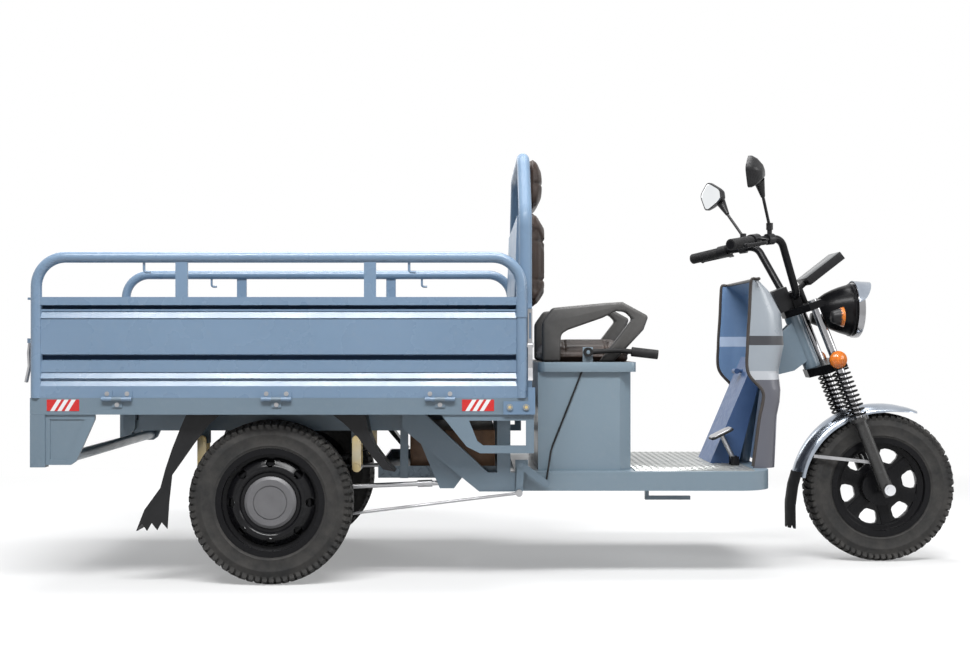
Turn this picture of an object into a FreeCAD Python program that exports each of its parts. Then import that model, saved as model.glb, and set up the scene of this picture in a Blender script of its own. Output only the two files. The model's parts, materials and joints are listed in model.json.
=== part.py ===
# Electric cargo tricycle with a tipping, drop-sided bed, built as separate named pieces.
# Frame: +X forwards, +Y to the rider's left, +Z up, ground at zero, origin under the middle.
import FreeCAD
import Part
import math
import os

os.makedirs("parts", exist_ok=True)
V = FreeCAD.Vector

# Whole vehicle
wheelbase = 1990.0
rear_overhang = 746.0
axle_z = 250.0
tyre_height = 98.0
seat_gap = 0.3
running_gap = 0.05
overrun = 5.0

# Rear wheels
rear_wheel_y = 432.0
rear_tyre_half = 47.5
tyre_bead_half = 36.0
tyre_shoulder_half = 40.0
tyre_wall_rise = 46.0
tyre_shoulder_drop = 11.0
tyre_skin = 9.0
tyre_bead_rise = 16.0
rim_seat_radius = 152.0
rim_flange_rise = 14.0
rim_well_drop = 18.0
rim_half = 41.0
rim_well_half = 16.0
rim_skin = 4.0
disc_ring_drop = 36.0
disc_hub_drop = 68.0
disc_face = 22.0
disc_skin = 5.0
disc_hole_drop = 48.0
disc_hole_radius = 9.0
disc_hole_count = 8
drum_drop = 56.0
drum_depth = 34.0
hub_bore_radius = 18.0
cap_drop = 73.0
cap_height = 15.0
cap_rim = 9.0
cap_groove = 3.0
cap_ring_drop = 100.0

# Rear axle and drive
axle_tube_radius = 30.0
axle_inset = 70.0
axle_stub_out = 20.0
brake_plate_drop = 48.0
brake_plate_skin = 8.0
diff_radius = 88.0
diff_half = 75.0
diff_neck_radius = 45.0
diff_neck_half = 130.0
spring_pad_half = 45.0
motor_x = -175.0
motor_z = 262.0
motor_radius = 78.0
motor_inner_y = -70.0
motor_outer_y = 150.0
motor_cap_radius = 55.0
motor_cap_skin = 18.0
motor_fin_count = 9
motor_fin_height = 6.0
motor_fin_width = 8.0
gear_neck_half = 48.0
brake_arm_x = 107.0
brake_arm_z = 185.0
brake_arm_pivot_x = 47.0
brake_arm_pivot_z = 205.0
brake_arm_half = 11.0
brake_arm_skin = 8.0

# Leaf springs and shackles
spring_inset = 114.0
spring_half_width = 25.0
spring_rear_x = -232.0
spring_front_x = 252.0
spring_eye_z = 345.0
spring_low_z = 293.0
leaf_skin = 6.0
leaf_count = 4
leaf_step_in = 46.0
spring_eye_bore = 8.3
spring_eye_radius = 14.0
shackle_top_z = 432.0
shackle_half_width = 14.0
shackle_skin = 6.0
shackle_bolt_radius = 8.0
shackle_bolt_head = 7.0
shackle_bolt_head_radius = 12.0

# Chassis rails
rail_inset = 122.0
rail_half_width = 20.0
rail_wall = 4.0
rail_low_z = 460.0
rail_top_z = 520.0
rail_rear_x = -433.0
rail_front_x = 447.0
sill_outer_inset = 42.0
sill_inner_inset = 82.0
sill_side_points = [(397.0, 519.5), (462.0, 519.5), (662.0, 334.0), (747.0, 334.0), (747.0, 275.0),
                    (635.0, 275.0), (397.0, 470.0)]
cross_rear_x = -393.0
cross_mid_rear_x = 107.0
cross_mid_front_x = 147.0
cross_low_z = 484.0
upright_rear_x = 691.0
upright_front_x = 732.0
hanger_rear_x = 388.0
hanger_front_x = 413.0
hanger_skin = 6.0
hanger_low_z = 311.0
hanger_top_z = 505.0
thrust_lug_points = [(447.0, 438.0), (587.0, 323.0), (557.0, 283.0), (513.0, 283.0)]
thrust_lug_inner_inset = 68.0
thrust_lug_outer_inset = 60.0
shackle_lug_half = 18.0
shackle_lug_low_z = 420.0
tray_bar_half = 18.0
tray_bar_x = 657.0
tray_bar_low_z = 285.0

# Bed tipping hinge
tip_x = -463.0
tip_z = 473.0
tip_pin_radius = 10.0
tip_lug_radius = 19.0
tip_lug_inner_inset = 131.0
tip_lug_outer_inset = 113.0
tip_ear_skin = 16.0

# Battery
tray_rear_x = 318.0
tray_front_x = 701.0
tray_inset = 103.0
tray_low_z = 311.3
tray_top_z = 349.0
tray_skin = 4.0
battery_rear_x = 417.0
battery_front_x = 686.0
battery_inset = 142.0
battery_top_z = 459.0
battery_cell_count = 4
battery_cell_gap = 6.0
battery_lid = 22.0

# Platform, tread plate and linkage below
platform_rear_x = 747.0
platform_front_ahead = -433.0
platform_inset = 62.0
platform_low_z = 275.0
platform_top_z = 334.0
platform_corner = 110.0
platform_side_skin = 4.0
platform_top_skin = 3.0
tread_gap = 8.0
tread_front_ahead = -491.0
tread_inset = 90.0
tread_skin = 3.0
linkage_rear_ahead = -810.0
linkage_front_ahead = -662.0
linkage_low_z = 222.0
linkage_bar = 12.0
linkage_y = -150.0
linkage_lug_half = 9.0
crank_lug_front_x = 787.0
crank_lug_low_z = 290.0
crank_lug_top_z = 372.0
crank_lug_skin = 6.0

# Brake crank, rod, hand brake and its cable
crank_x = 764.0
crank_z = 358.0
crank_low_x = 758.0
crank_low_z = 272.0
crank_arm_x = 842.0
crank_arm_z = 300.0
crank_inner_inset = 40.0
crank_outer_inset = 32.0
crank_pin_radius = 6.0
crank_boss_radius = 14.0
crank_eye_radius = 11.0
crank_pin_end_inset = 28.0
brake_rod_radius = 4.5
brake_rod_eye_skin = 12.0
brake_rod_out = 6.5
brake_rod_rear_inset = 88.5
clevis_radius = 9.0
clevis_length = 60.0
cable_radius = 3.0
cable_inset_points = [(842.0, 44.0, 303.0), (850.0, 44.0, 350.0), (862.0, 108.6, 400.0),
                      (964.7, 108.6, 660.0)]
cable_bend = 40.0
cable_hole_radius = 6.0
cable_hole_share = 1.2
lever_x = 981.0
lever_z = 706.0
lever_inset = 139.0
lever_mid_x = 1077.0
lever_mid_z = 712.0
lever_end_x = 1202.0
lever_end_z = 698.0
lever_bend = 60.0
lever_radius = 8.0
lever_grip_radius = 15.0
lever_grip_x = 1119.0
lever_grip_z = 707.5
lever_hub_radius = 15.0
lever_hub_half = 8.0
lever_pin_radius = 6.0
lever_lug_skin = 6.0
lever_lug_half = 16.0

# Seat
seat_rear_x = 821.0
seat_box_front_x = 1117.0
seat_box_chamfer = 38.0
seat_box_inset = 112.0
seat_box_top_z = 644.0
seat_box_skin = 3.0
seat_base_front_x = 1130.0
seat_base_inset = 98.0
seat_base_top_z = 675.0
seat_base_corner = 24.0
cushion_rear_x = 839.0
cushion_front_x = 1123.0
cushion_inset = 206.0
cushion_corner = 40.0
cushion_levels = [(675.3, 8.0), (690.0, 1.0), (708.0, 0.0), (724.0, 6.0), (735.0, 22.0), (741.0, 52.0)]
arm_points = [(837.0, 675.3), (837.0, 802.0), (869.0, 847.0), (1039.0, 863.0), (1093.0, 866.0),
              (1176.0, 821.0), (1160.0, 777.0), (1065.0, 675.3)]
arm_window_points = [(895.0, 670.0), (895.0, 735.0), (898.0, 764.0), (920.0, 777.0), (1029.0, 815.0),
                     (1074.0, 837.0), (1103.0, 834.0), (1125.0, 812.0), (1015.0, 670.0)]
arm_inner_inset = 200.0
arm_outer_inset = 154.0

# Leg shield, knee panel and pedal
shield_half = 250.0
shield_skin = 4.0
shield_ahead_levels = [(334.3, -477.0, -398.0, 50.0), (437.0, -464.0, -393.0, 50.0),
                       (500.0, -455.0, -390.0, 50.0), (545.0, -445.0, -381.0, 50.0),
                       (583.0, -447.0, -377.0, 55.0), (641.0, -492.0, -381.0, 70.0),
                       (729.0, -494.0, -359.0, 90.0), (830.0, -488.0, -368.0, 90.0),
                       (900.0, -485.0, -411.0, 60.0), (939.0, -481.0, -459.0, 14.0)]
shield_slot_half = 46.0
shield_slot_low_z = 610.0
shield_slot_top_z = 800.0
knee_ahead_points = [(-440.0, 687.0), (-589.0, 337.6), (-495.0, 337.6), (-428.0, 600.0), (-413.0, 687.0)]
knee_core_ahead_points = [(-429.5, 700.0), (-587.2, 330.0), (-483.0, 330.0), (-403.0, 600.0),
                          (-403.0, 700.0)]
knee_half = 112.0
knee_skin = 4.0
hook_z = 640.0
hook_reach = 22.0
hook_radius = 6.0
hook_bar_half = 24.0
hook_head_radius = 9.0
pedal_y = -168.0
pedal_ahead = -521.0
pedal_z = 353.0
pedal_pad_ahead = -564.0
pedal_pad_z = 440.0
pedal_pad_half = 40.0
pedal_pad_skin = 14.0
pedal_stem_radius = 8.0
pedal_hub_radius = 12.0
pedal_hub_half = 14.0
pedal_pin_radius = 6.0
pedal_lug_skin = 5.0
pedal_lug_half = 13.0

# Mudguards with flaps
guard_inset = 46.0
guard_out = 48.0
guard_skin = 4.0
guard_rear_points = [(-253.0, 517.0), (-150.0, 517.0), (-183.0, 488.0), (-228.0, 430.0), (-263.0, 380.0),
                     (-295.0, 335.0), (-331.0, 296.0), (-315.0, 355.0), (-295.0, 415.0), (-271.0, 475.0)]
guard_front_points = [(192.0, 517.0), (292.0, 517.0), (300.0, 470.0), (319.0, 420.0), (349.0, 380.0),
                      (380.0, 345.0), (344.0, 352.0), (307.0, 395.0), (267.0, 450.0), (227.0, 490.0)]
flap_points = [(-331.0, 296.0), (-295.0, 335.0), (-304.0, 250.0), (-309.0, 172.0), (-327.0, 192.0),
               (-340.0, 168.0), (-357.0, 190.0), (-371.0, 166.0), (-386.0, 188.0), (-404.0, 166.0),
               (-379.0, 230.0)]
guard_arm_low_z = 495.0
guard_arm_half = 15.0
guard_arm_rear_x = -218.0
guard_arm_front_x = 242.0

# Head frame
rake_deg = 21.5
stem_back = 58.0
head_tube_radius = 28.0
stem_radius = 16.0
yoke_low = 443.0
yoke_high = 656.0
yoke_low_half = 14.0
yoke_high_half = 12.0
down_tube_radius = 24.0
down_tube_bend = 60.0
down_tube_ahead_points = [(-268.0, 745.0), (-407.0, 700.0), (-460.2, 325.0)]
gusset_ahead_points = [(-286.0, 815.0), (-235.0, 682.0), (-288.0, 642.0), (-369.0, 622.0), (-393.0, 660.0),
                       (-355.0, 745.0)]
gusset_inner_y = 18.0
gusset_outer_y = 24.0

# Thrust rods
thrust_x = 535.0
thrust_z = 299.0
thrust_rear_x = 47.0
thrust_rear_z = 280.0
thrust_inset = 79.5
thrust_radius = 7.5
thrust_eye_radius = 11.0
thrust_eye_inset = 86.0
thrust_nut_radius = 11.0
thrust_nut_length = 46.0

# Bed frame
bed_rear_x = -712.0
bed_front_x = 802.0
bed_half = 520.0
bed_low_z = 520.3
bed_top_z = 570.0
beam_flange = 40.0
beam_skin = 3.0
floor_front_x = 778.0
floor_skin = 3.0
pan_rear_x = -687.0
pan_front_x = 727.0
pan_inset = 36.0
pan_skin = 2.0
bed_cross_width = 40.0
bed_cross_xs = [-712.0, -318.0, 32.0, 382.0, 762.0]
bulkhead_front_x = 773.0
bulkhead_inset = 71.0
bulkhead_rib_depth = 9.0
foot_plate_points = [(707.0, 521.0), (802.0, 521.0), (802.0, 602.0), (781.0, 602.0), (781.0, 560.0),
                     (707.0, 560.0)]
foot_plate_skin = 5.0
foot_bolt_xs = [726.0, 775.0]
foot_bolt_z = 543.0
foot_bolt_radius = 8.0
foot_bolt_head = 5.0

# Pressed gate sheet: height, and depth below the outer face
gate_sheet = [(570.3, 0.0), (606.0, 0.0), (624.0, 9.0), (627.5, 9.0), (629.0, 1.0), (645.0, 9.0), (648.0,
                                                                                                   6.0),
              (682.0, 6.0), (684.0, 16.0), (699.0, 16.0), (701.0, 4.0), (808.0, 4.0), (810.0, 1.0), (828.0,
                                                                                                     9.0),
              (831.0, 6.0), (836.0, 6.0), (837.5, 15.0), (847.0, 15.0), (849.0, 0.0), (873.0, 0.0)]
gate_skin = 3.0
gate_depth = 19.0
gate_tube_inset = 9.5
gate_tube_radius = 16.5
gate_tube_wall = 2.5
gate_rear_x = -695.5
gate_front_x = 761.5
gate_rail_z = 992.5
gate_bend = 87.0
gate_post_xs = [-258.0, 307.0]
gate_post_half = 18.0
gate_post_skin = 12.0
gate_post_low_z = 852.0
sleeve_low_z = 812.0
sleeve_top_z = 864.0
sleeve_radius = 18.5
rope_hook_xs = [-372.0, 424.0]
rope_hook_radius = 4.0
rope_hook_low_z = 948.0
rope_hook_reach = 20.0
rope_hook_bend = 8.0

# Gate hinges
hinge_out = 7.0
hinge_z = 567.0
hinge_radius = 6.5
hinge_pin_radius = 3.5
hinge_knuckle_half = 14.7
hinge_half = 45.0
hinge_leaf_skin = 3.5
hinge_leaf_low_z = 542.0
hinge_leaf_top_z = 592.0
side_hinge_xs = [-450.0, 27.0, 517.0]
tail_hinge_ys = [-330.0, 0.0, 330.0]
tail_inset = 29.0

# Backrest
hoop_x = 775.0
hoop_radius = 20.0
hoop_wall = 2.5
hoop_inset = 50.0
hoop_shoulder_z = 1120.0
hoop_top_z = 1320.0
hoop_top_y = 300.0
hoop_bend = 90.0
hoop_bar_zs = [905.0, 1100.0]
hoop_bar_radius = 15.0
board_points = [(743.0, 878.0), (759.7, 878.0), (759.7, 1125.0), (751.0, 1125.0)]
board_inset = 80.0
back_low_z = 852.0
back_top_z = 1157.0
back_half = 230.0
back_corner = 45.0
back_levels = [(790.3, 9.0), (801.0, 1.0), (813.0, 0.0), (827.0, 8.0), (837.0, 26.0), (843.0, 60.0)]
head_low_z = 1182.0
head_top_z = 1338.0
head_half = 150.0
head_corner = 40.0
head_levels = [(795.3, 8.0), (805.0, 1.0), (817.0, 0.0), (829.0, 9.0), (837.0, 24.0), (842.0, 46.0)]

# Guards below the bed
guard_plate_inner_inset = 17.0
guard_plate_outer_inset = 5.0
corner_post_front_x = -667.0
corner_post_inset = 36.0
corner_post_low_z = 362.0
corner_plate_points = [(-667.0, 520.0), (-519.0, 520.0), (-519.0, 505.0), (-575.0, 380.0), (-591.0, 369.0),
                       (-667.0, 369.0)]
corner_press_points = [(-653.0, 506.0), (-549.0, 506.0), (-599.0, 386.0), (-653.0, 386.0)]
press_depth = 3.0
bumper_x = -599.0
bumper_z = 392.0
bumper_radius = 17.0
loop_points = [(520.0, 520.0), (799.0, 520.0), (799.0, 404.0), (637.0, 404.0), (597.0, 424.0)]
loop_window_points = [(604.0, 502.0), (775.0, 502.0), (775.0, 427.0), (647.0, 427.0), (629.0, 440.0)]

# Draw latches on the hoop and on the tailgate
latch_rear_x = 781.0
latch_front_x = 795.0
latch_ear_skin = 2.4
latch_ear_gap = 0.3
latch_z = 729.0
latch_inset = 15.0
latch_root_inset = 35.0
latch_ear_half = 7.0
latch_pin_radius = 3.0
latch_hub_radius = 5.0
latch_yoke_top_z = 838.0
latch_yoke_inner_inset = 26.0
latch_yoke_outer_inset = 22.0
latch_slot_low_z = 748.0
latch_slot_top_z = 826.0
latch_slot_edge = 4.0
latch_handle_inset = [(15.0, 729.0), (10.0, 729.0), (8.0, 700.0), (9.0, 660.0), (0.0, 623.0), (5.0, 621.0),
                      (14.0, 660.0), (13.0, 700.0)]
keeper_low_z = 841.0
keeper_top_z = 855.0
keeper_inner_inset = 16.0
keeper_outer_inset = 8.0
keeper_front_x = 793.0
tail_latch_inner_inset = 68.0
tail_latch_outer_inset = 48.0
tail_latch_root_x = -712.0
tail_latch_x = -728.0
tail_latch_z = 742.0
tail_handle = [(-728.0, 742.0), (-733.0, 742.0), (-737.0, 705.0), (-735.0, 665.0), (-745.0, 617.0),
               (-740.0, 615.0), (-729.0, 665.0), (-731.0, 705.0)]
tail_yoke_top_z = 852.0
tail_yoke_rear_x = -725.0
tail_yoke_front_x = -721.0
tail_keeper_top_z = 880.0
tail_keeper_low_z = 846.0
tail_keeper_reach_x = -735.0

# Steering head and fork, in the tilted frame of the fork
fork_y = 98.0
fork_tube_radius = 15.0
fork_tube_low = 110.0
fork_tube_high = 676.0
yoke_plan = [(-86.0, -28.0), (-86.0, 28.0), (-22.0, 122.0), (24.0, 122.0), (24.0, -122.0), (-22.0, -122.0)]
leg_radius = 20.5
leg_low = -24.0
leg_high = 250.0
leg_bore_low = 62.0
collar_radius = 31.0
collar_low = 244.0
collar_high = 256.0
axle_radius = 8.5
axle_nut_half = 13.0
axle_nut_skin = 14.0
axle_sleeve_radius = 14.0
spring_turns = 10
spring_coil_radius = 27.5
spring_wire_radius = 3.5

# Front wheel
front_tyre_half = 45.0
front_hub_drop = 90.0
front_hub_half = 38.0
front_spoke_count = 6
front_spoke_deg = 42.0
front_spoke_root = 20.0
front_spoke_tip = 14.0
front_spoke_half = 11.0
front_spoke_start = 50.0

# Front fender, stays and flap
fender_gap = 16.0
fender_skin = 3.0
fender_half = 58.0
fender_rear_deg = 175.0
fender_front_deg = 82.0
fender_tip_deg = 64.0
fender_tip_rise = 50.0
skirt_drop = 16.0
skirt_rear_deg = 170.0
skirt_front_deg = 92.0
stay_deg = 150.0
stay_radius = 5.0
stay_leg_height = 96.0
flap_top_ahead = -265.0
flap_top_z = 292.0
flap_low_ahead = -313.0
flap_low_z = 108.0
flap_skin = 4.0
flap_half = 54.0

# Handlebar, grips and controls
bar_radius = 12.5
bar_bend = 50.0
bar_ahead_points = [(-569.0, 350.0, 1042.0), (-456.0, 230.0, 1066.0), (-371.0, 180.0, 1076.0),
                    (-293.0, 80.0, 892.0)]
clamp_inner_y = 28.0
clamp_outer_y = 52.0
clamp_back = -51.0
clamp_front = -22.0
clamp_top = 722.0
grip_radius = 17.0
grip_length = 118.0
grip_start = 48.0
pod_radius = 22.0
pod_start = 8.0
pod_length = 36.0
lever_hub_out = 40.0
brake_hub_radius = 9.0
brake_hub_half = 6.0
brake_pin_radius = 4.0
brake_ear_skin = 5.0
brake_ear_half = 9.0
brake_blade_radius = 6.0
brake_blade_bend = 25.0
brake_blade_run = [(46.0, 54.0), (158.0, 50.0)]
brake_ball_radius = 8.0

# Mirrors
mirror_boss_radius = 18.0
mirror_boss_half = 13.0
mirror_share = 0.5
mirror_stud_radius = 8.0
mirror_stud_top = 30.0
mirror_stem_radius = 5.0
mirror_stem_bend = 30.0
mirror_socket_radius = 11.0
mirror_socket_length = 22.0
mirror_neck_ahead = (-453.0, 286.0, 1200.0)
mirror_centre_ahead = (-481.0, 330.0, 1270.0)
mirror_face = [(0.0, -70.0), (56.0, -54.0), (75.0, -2.0), (58.0, 51.0), (7.0, 70.0), (-54.0, 54.0), (-70.0,
                                                                                                     -5.0),
               (-49.0, -56.0)]
mirror_back_share = 0.55
mirror_depth = 44.0
mirror_toe_deg = 24.0

# Lamps, display and dash box
lamp_ahead = -66.0
lamp_z = 847.0
lamp_ring_radius = 95.0
lamp_ring_depth = 24.0
lamp_glass_radius = 84.0
lamp_glass_bulge = 12.0
lamp_glass_shares = [(1.0, 0.0), (0.85, 0.3), (0.6, 0.65), (0.3, 0.92), (0.0, 1.0)]
lamp_bowl_ahead_profile = [(-207.0, 0.0), (-207.0, 40.0), (-168.0, 64.0), (-123.0, 82.0), (-90.3, 88.0),
                           (-90.3, 0.0)]
lamp_arm_front = 74.0
lamp_arm_half = 18.0
lamp_arm_low = 646.0
lamp_arm_high = 664.0
visor_radius = 99.0
visor_rear_ahead = -89.0
visor_front_ahead = -31.0
visor_side_z = 868.0
indicator_ahead = -193.0
indicator_front_ahead = -155.0
indicator_y = 131.0
indicator_z = 821.0
indicator_radius = 33.0
indicator_back_radius = 18.0
indicator_stem_radius = 7.0
reflector_radius = 29.0
reflector_skin = 8.0
reflector_up = 462.0
display_ahead = -195.0
display_z = 985.0
display_half_length = 72.0
display_half_width = 68.0
display_half_skin = 14.0
display_deg = 38.0
display_arm_radius = 9.0
dash_back = -100.0
dash_front = -52.0
dash_half = 48.0
dash_top = 745.0

tyre_radius = rim_seat_radius + tyre_height
stand_z = tyre_radius - axle_z
rear_axle_x = 0
front_axle_x = rear_axle_x + wheelbase
middle_x = (front_axle_x + tyre_radius - rear_overhang) / 2

# Wheel sizes, from the rim's bead seat and the tyre
rim_flange_radius = rim_seat_radius + rim_flange_rise
rim_well_radius = rim_seat_radius - rim_well_drop
disc_ring_radius = rim_seat_radius - disc_ring_drop
disc_hub_radius = rim_seat_radius - disc_hub_drop
disc_hole_pitch = rim_seat_radius - disc_hole_drop
drum_radius = rim_seat_radius - drum_drop
cap_radius = rim_seat_radius - cap_drop
cap_ring_radius = rim_seat_radius - cap_ring_drop
brake_plate_radius = rim_seat_radius - brake_plate_drop
front_hub_radius = rim_seat_radius - front_hub_drop
fender_radius = tyre_radius + fender_gap
fender_tip_radius = tyre_radius + fender_tip_rise
skirt_radius = tyre_radius - skirt_drop

# Places ahead of the seat, from the front axle
platform_front_x = front_axle_x + platform_front_ahead
tread_rear_x = seat_box_front_x + tread_gap
tread_front_x = front_axle_x + tread_front_ahead
linkage_rear_x = front_axle_x + linkage_rear_ahead
linkage_front_x = front_axle_x + linkage_front_ahead
pedal_x = front_axle_x + pedal_ahead
pedal_pad_x = front_axle_x + pedal_pad_ahead
flap_top_x = front_axle_x + flap_top_ahead
flap_low_x = front_axle_x + flap_low_ahead
lamp_x = front_axle_x + lamp_ahead
visor_rear_x = front_axle_x + visor_rear_ahead
visor_front_x = front_axle_x + visor_front_ahead
indicator_x = front_axle_x + indicator_ahead
indicator_front_x = front_axle_x + indicator_front_ahead
display_x = front_axle_x + display_ahead
knee_points = [(front_axle_x + x, z) for x, z in knee_ahead_points]
knee_core_points = [(front_axle_x + x, z) for x, z in knee_core_ahead_points]
down_tube_points = [(front_axle_x + x, z) for x, z in down_tube_ahead_points]
gusset_points = [(front_axle_x + x, z) for x, z in gusset_ahead_points]
lamp_bowl_profile = [(front_axle_x + x, z) for x, z in lamp_bowl_ahead_profile]
shield_levels = [(z, front_axle_x + back, front_axle_x + front, round_off)
                 for z, back, front, round_off in shield_ahead_levels]
bar_points = [(front_axle_x + x, y, z) for x, y, z in bar_ahead_points]
mirror_neck = (front_axle_x + mirror_neck_ahead[0], mirror_neck_ahead[1], mirror_neck_ahead[2])
mirror_centre = (front_axle_x + mirror_centre_ahead[0], mirror_centre_ahead[1], mirror_centre_ahead[2])

# Places across the chassis, from the middle of the rear wheels
axle_half = rear_wheel_y - axle_inset
guard_inner_y = rear_wheel_y - guard_inset
rail_y = rear_wheel_y - rail_inset
spring_y = rear_wheel_y - spring_inset
thrust_y = rear_wheel_y - thrust_inset
thrust_eye_inner_y = rear_wheel_y - thrust_eye_inset
thrust_lug_inner_y = rear_wheel_y - thrust_lug_inner_inset
thrust_lug_outer_y = rear_wheel_y - thrust_lug_outer_inset
tip_lug_inner_y = rear_wheel_y - tip_lug_inner_inset
tip_lug_outer_y = rear_wheel_y - tip_lug_outer_inset
platform_half = rear_wheel_y - platform_inset
sill_outer_y = rear_wheel_y - sill_outer_inset
sill_inner_y = rear_wheel_y - sill_inner_inset
tray_half = rear_wheel_y - tray_inset
battery_half = rear_wheel_y - battery_inset
seat_box_half = rear_wheel_y - seat_box_inset
seat_base_half = rear_wheel_y - seat_base_inset
tread_half = rear_wheel_y - tread_inset
arm_inner_y = rear_wheel_y - arm_inner_inset
arm_outer_y = rear_wheel_y - arm_outer_inset
cushion_half = rear_wheel_y - cushion_inset
axle_stub_half = rear_wheel_y + axle_stub_out
guard_outer_y = rear_wheel_y + guard_out
brake_rod_rear_y = brake_rod_rear_inset - rear_wheel_y
lever_y = lever_inset - rear_wheel_y
crank_inner_y = crank_inner_inset - rear_wheel_y
crank_outer_y = crank_outer_inset - rear_wheel_y
crank_pin_end_y = crank_pin_end_inset - rear_wheel_y
cable_points = [(x, inset - rear_wheel_y, z) for x, inset, z in cable_inset_points]

# Places across the bed, from its side
gate_tube_y = bed_half - gate_tube_inset
pan_half = bed_half - pan_inset
bulkhead_half = bed_half - bulkhead_inset
hoop_y = bed_half - hoop_inset
board_half = bed_half - board_inset
tail_half = bed_half - tail_inset
guard_plate_inner = bed_half - guard_plate_inner_inset
guard_plate_outer = bed_half - guard_plate_outer_inset
corner_post_inner = bed_half - corner_post_inset
latch_y = bed_half - latch_inset
latch_root_y = bed_half - latch_root_inset
latch_yoke_inner_y = bed_half - latch_yoke_inner_inset
latch_yoke_outer_y = bed_half - latch_yoke_outer_inset
keeper_inner_y = bed_half - keeper_inner_inset
keeper_outer_y = bed_half - keeper_outer_inset
tail_latch_inner_y = bed_half - tail_latch_inner_inset
tail_latch_outer_y = bed_half - tail_latch_outer_inset
latch_handle = [(bed_half - inset, z) for inset, z in latch_handle_inset]


# Shared shape helpers
def save(name, *solids):
    shape = Part.makeCompound(list(solids)) if len(solids) > 1 else solids[0]
    shape.translated(V(-middle_x, 0, stand_z)).exportStep("parts/" + name + ".step")


def fuse(*shapes):
    return shapes[0].multiFuse(list(shapes[1:])).removeSplitter()


def cut(shape, *tools):
    for tool in tools:
        shape = shape.cut(tool)
    return shape


def mirrored(shape):
    return shape.mirror(V(0, 0, 0), V(0, 1, 0))


def block(x0, x1, y0, y1, z0, z1):
    return Part.makeBox(x1 - x0, y1 - y0, z1 - z0, V(x0, y0, z0))


def box_tube(x0, x1, y0, y1, z0, z1, wall, along):
    inset = [0 if axis == along else wall for axis in "xyz"]
    core = block(x0 + inset[0], x1 - inset[0], y0 + inset[1], y1 - inset[1], z0 + inset[2], z1 - inset[2])
    return block(x0, x1, y0, y1, z0, z1).cut(core)


def rod(start, end, radius):
    return Part.makeCylinder(radius, (end - start).Length, start, end - start)


def disc(x, y0, y1, z, radius):
    return rod(V(x, y0, z), V(x, y1, z), radius)


def side_plate(points, y0, y1):
    wire = Part.makePolygon([V(x, y0, z) for x, z in points + points[:1]])
    return Part.Face(wire).extrude(V(0, y1 - y0, 0))


def plan_plate(points, z0, z1):
    wire = Part.makePolygon([V(x, y, z0) for x, y in points + points[:1]])
    return Part.Face(wire).extrude(V(0, 0, z1 - z0))


def front_plate(points, x0, x1):
    wire = Part.makePolygon([V(x0, y, z) for y, z in points + points[:1]])
    return Part.Face(wire).extrude(V(x1 - x0, 0, 0))


def bent_wire(points, bend):
    edges = []
    start = points[0]
    for before, corner, after in zip(points, points[1:], points[2:]):
        back = (before - corner).normalize()
        ahead = (after - corner).normalize()
        half = back.getAngle(ahead) / 2
        reach = bend / math.tan(half)
        first = corner + back * reach
        last = corner + ahead * reach
        middle = corner + (back + ahead).normalize() * (bend / math.sin(half) - bend)
        edges.append(Part.makeLine(start, first))
        edges.append(Part.Arc(first, middle, last).toShape())
        start = last
    edges.append(Part.makeLine(start, points[-1]))
    return Part.Wire(edges)


def bent_bar(points, bend, radius):
    path = bent_wire(points, bend)
    ring = Part.Wire(Part.makeCircle(radius, points[0], points[1] - points[0]))
    return path.makePipeShell([ring], True, False)


def bent_tube(points, bend, radius, wall):
    return bent_bar(points, bend, radius).cut(bent_bar(points, bend, radius - wall))


def turned(profile, x, y, z, side):
    wire = Part.makePolygon([V(x + r, y + side * w, z) for r, w in profile + profile[:1]])
    return Part.Face(wire).revolve(V(x, y, z), V(0, 1, 0), 360)


def shell_turned(edges, x, y, z):
    return Part.Face(Part.Wire(edges)).revolve(V(x, y, z), V(0, 1, 0), 360)


def rounded_ring(cx, cy, half_x, half_y, corner, level, place):
    sides = [(1, 1), (-1, 1), (-1, -1), (1, -1)]
    edges = []
    ends = []
    for sx, sy in sides:
        ox = cx + sx * (half_x - corner)
        oy = cy + sy * (half_y - corner)
        a = V(ox + sx * corner, oy, level)
        m = V(ox + sx * corner * math.sqrt(2) / 2, oy + sy * corner * math.sqrt(2) / 2, level)
        b = V(ox, oy + sy * corner, level)
        ends.append((a, m, b) if sx * sy > 0 else (b, m, a))
    for (a, m, b), (c, n, d) in zip(ends, ends[1:] + ends[:1]):
        edges.append(Part.Arc(place(a), place(m), place(b)).toShape())
        edges.append(Part.makeLine(place(b), place(c)))
    return Part.Wire(edges)


def cushion(cx, cy, half_x, half_y, corner, levels, place):
    rings = []
    for level, inset in levels:
        rings.append(rounded_ring(cx, cy, half_x - inset, half_y - inset, corner, level, place))
    return Part.makeLoft(rings, True, False)


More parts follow.
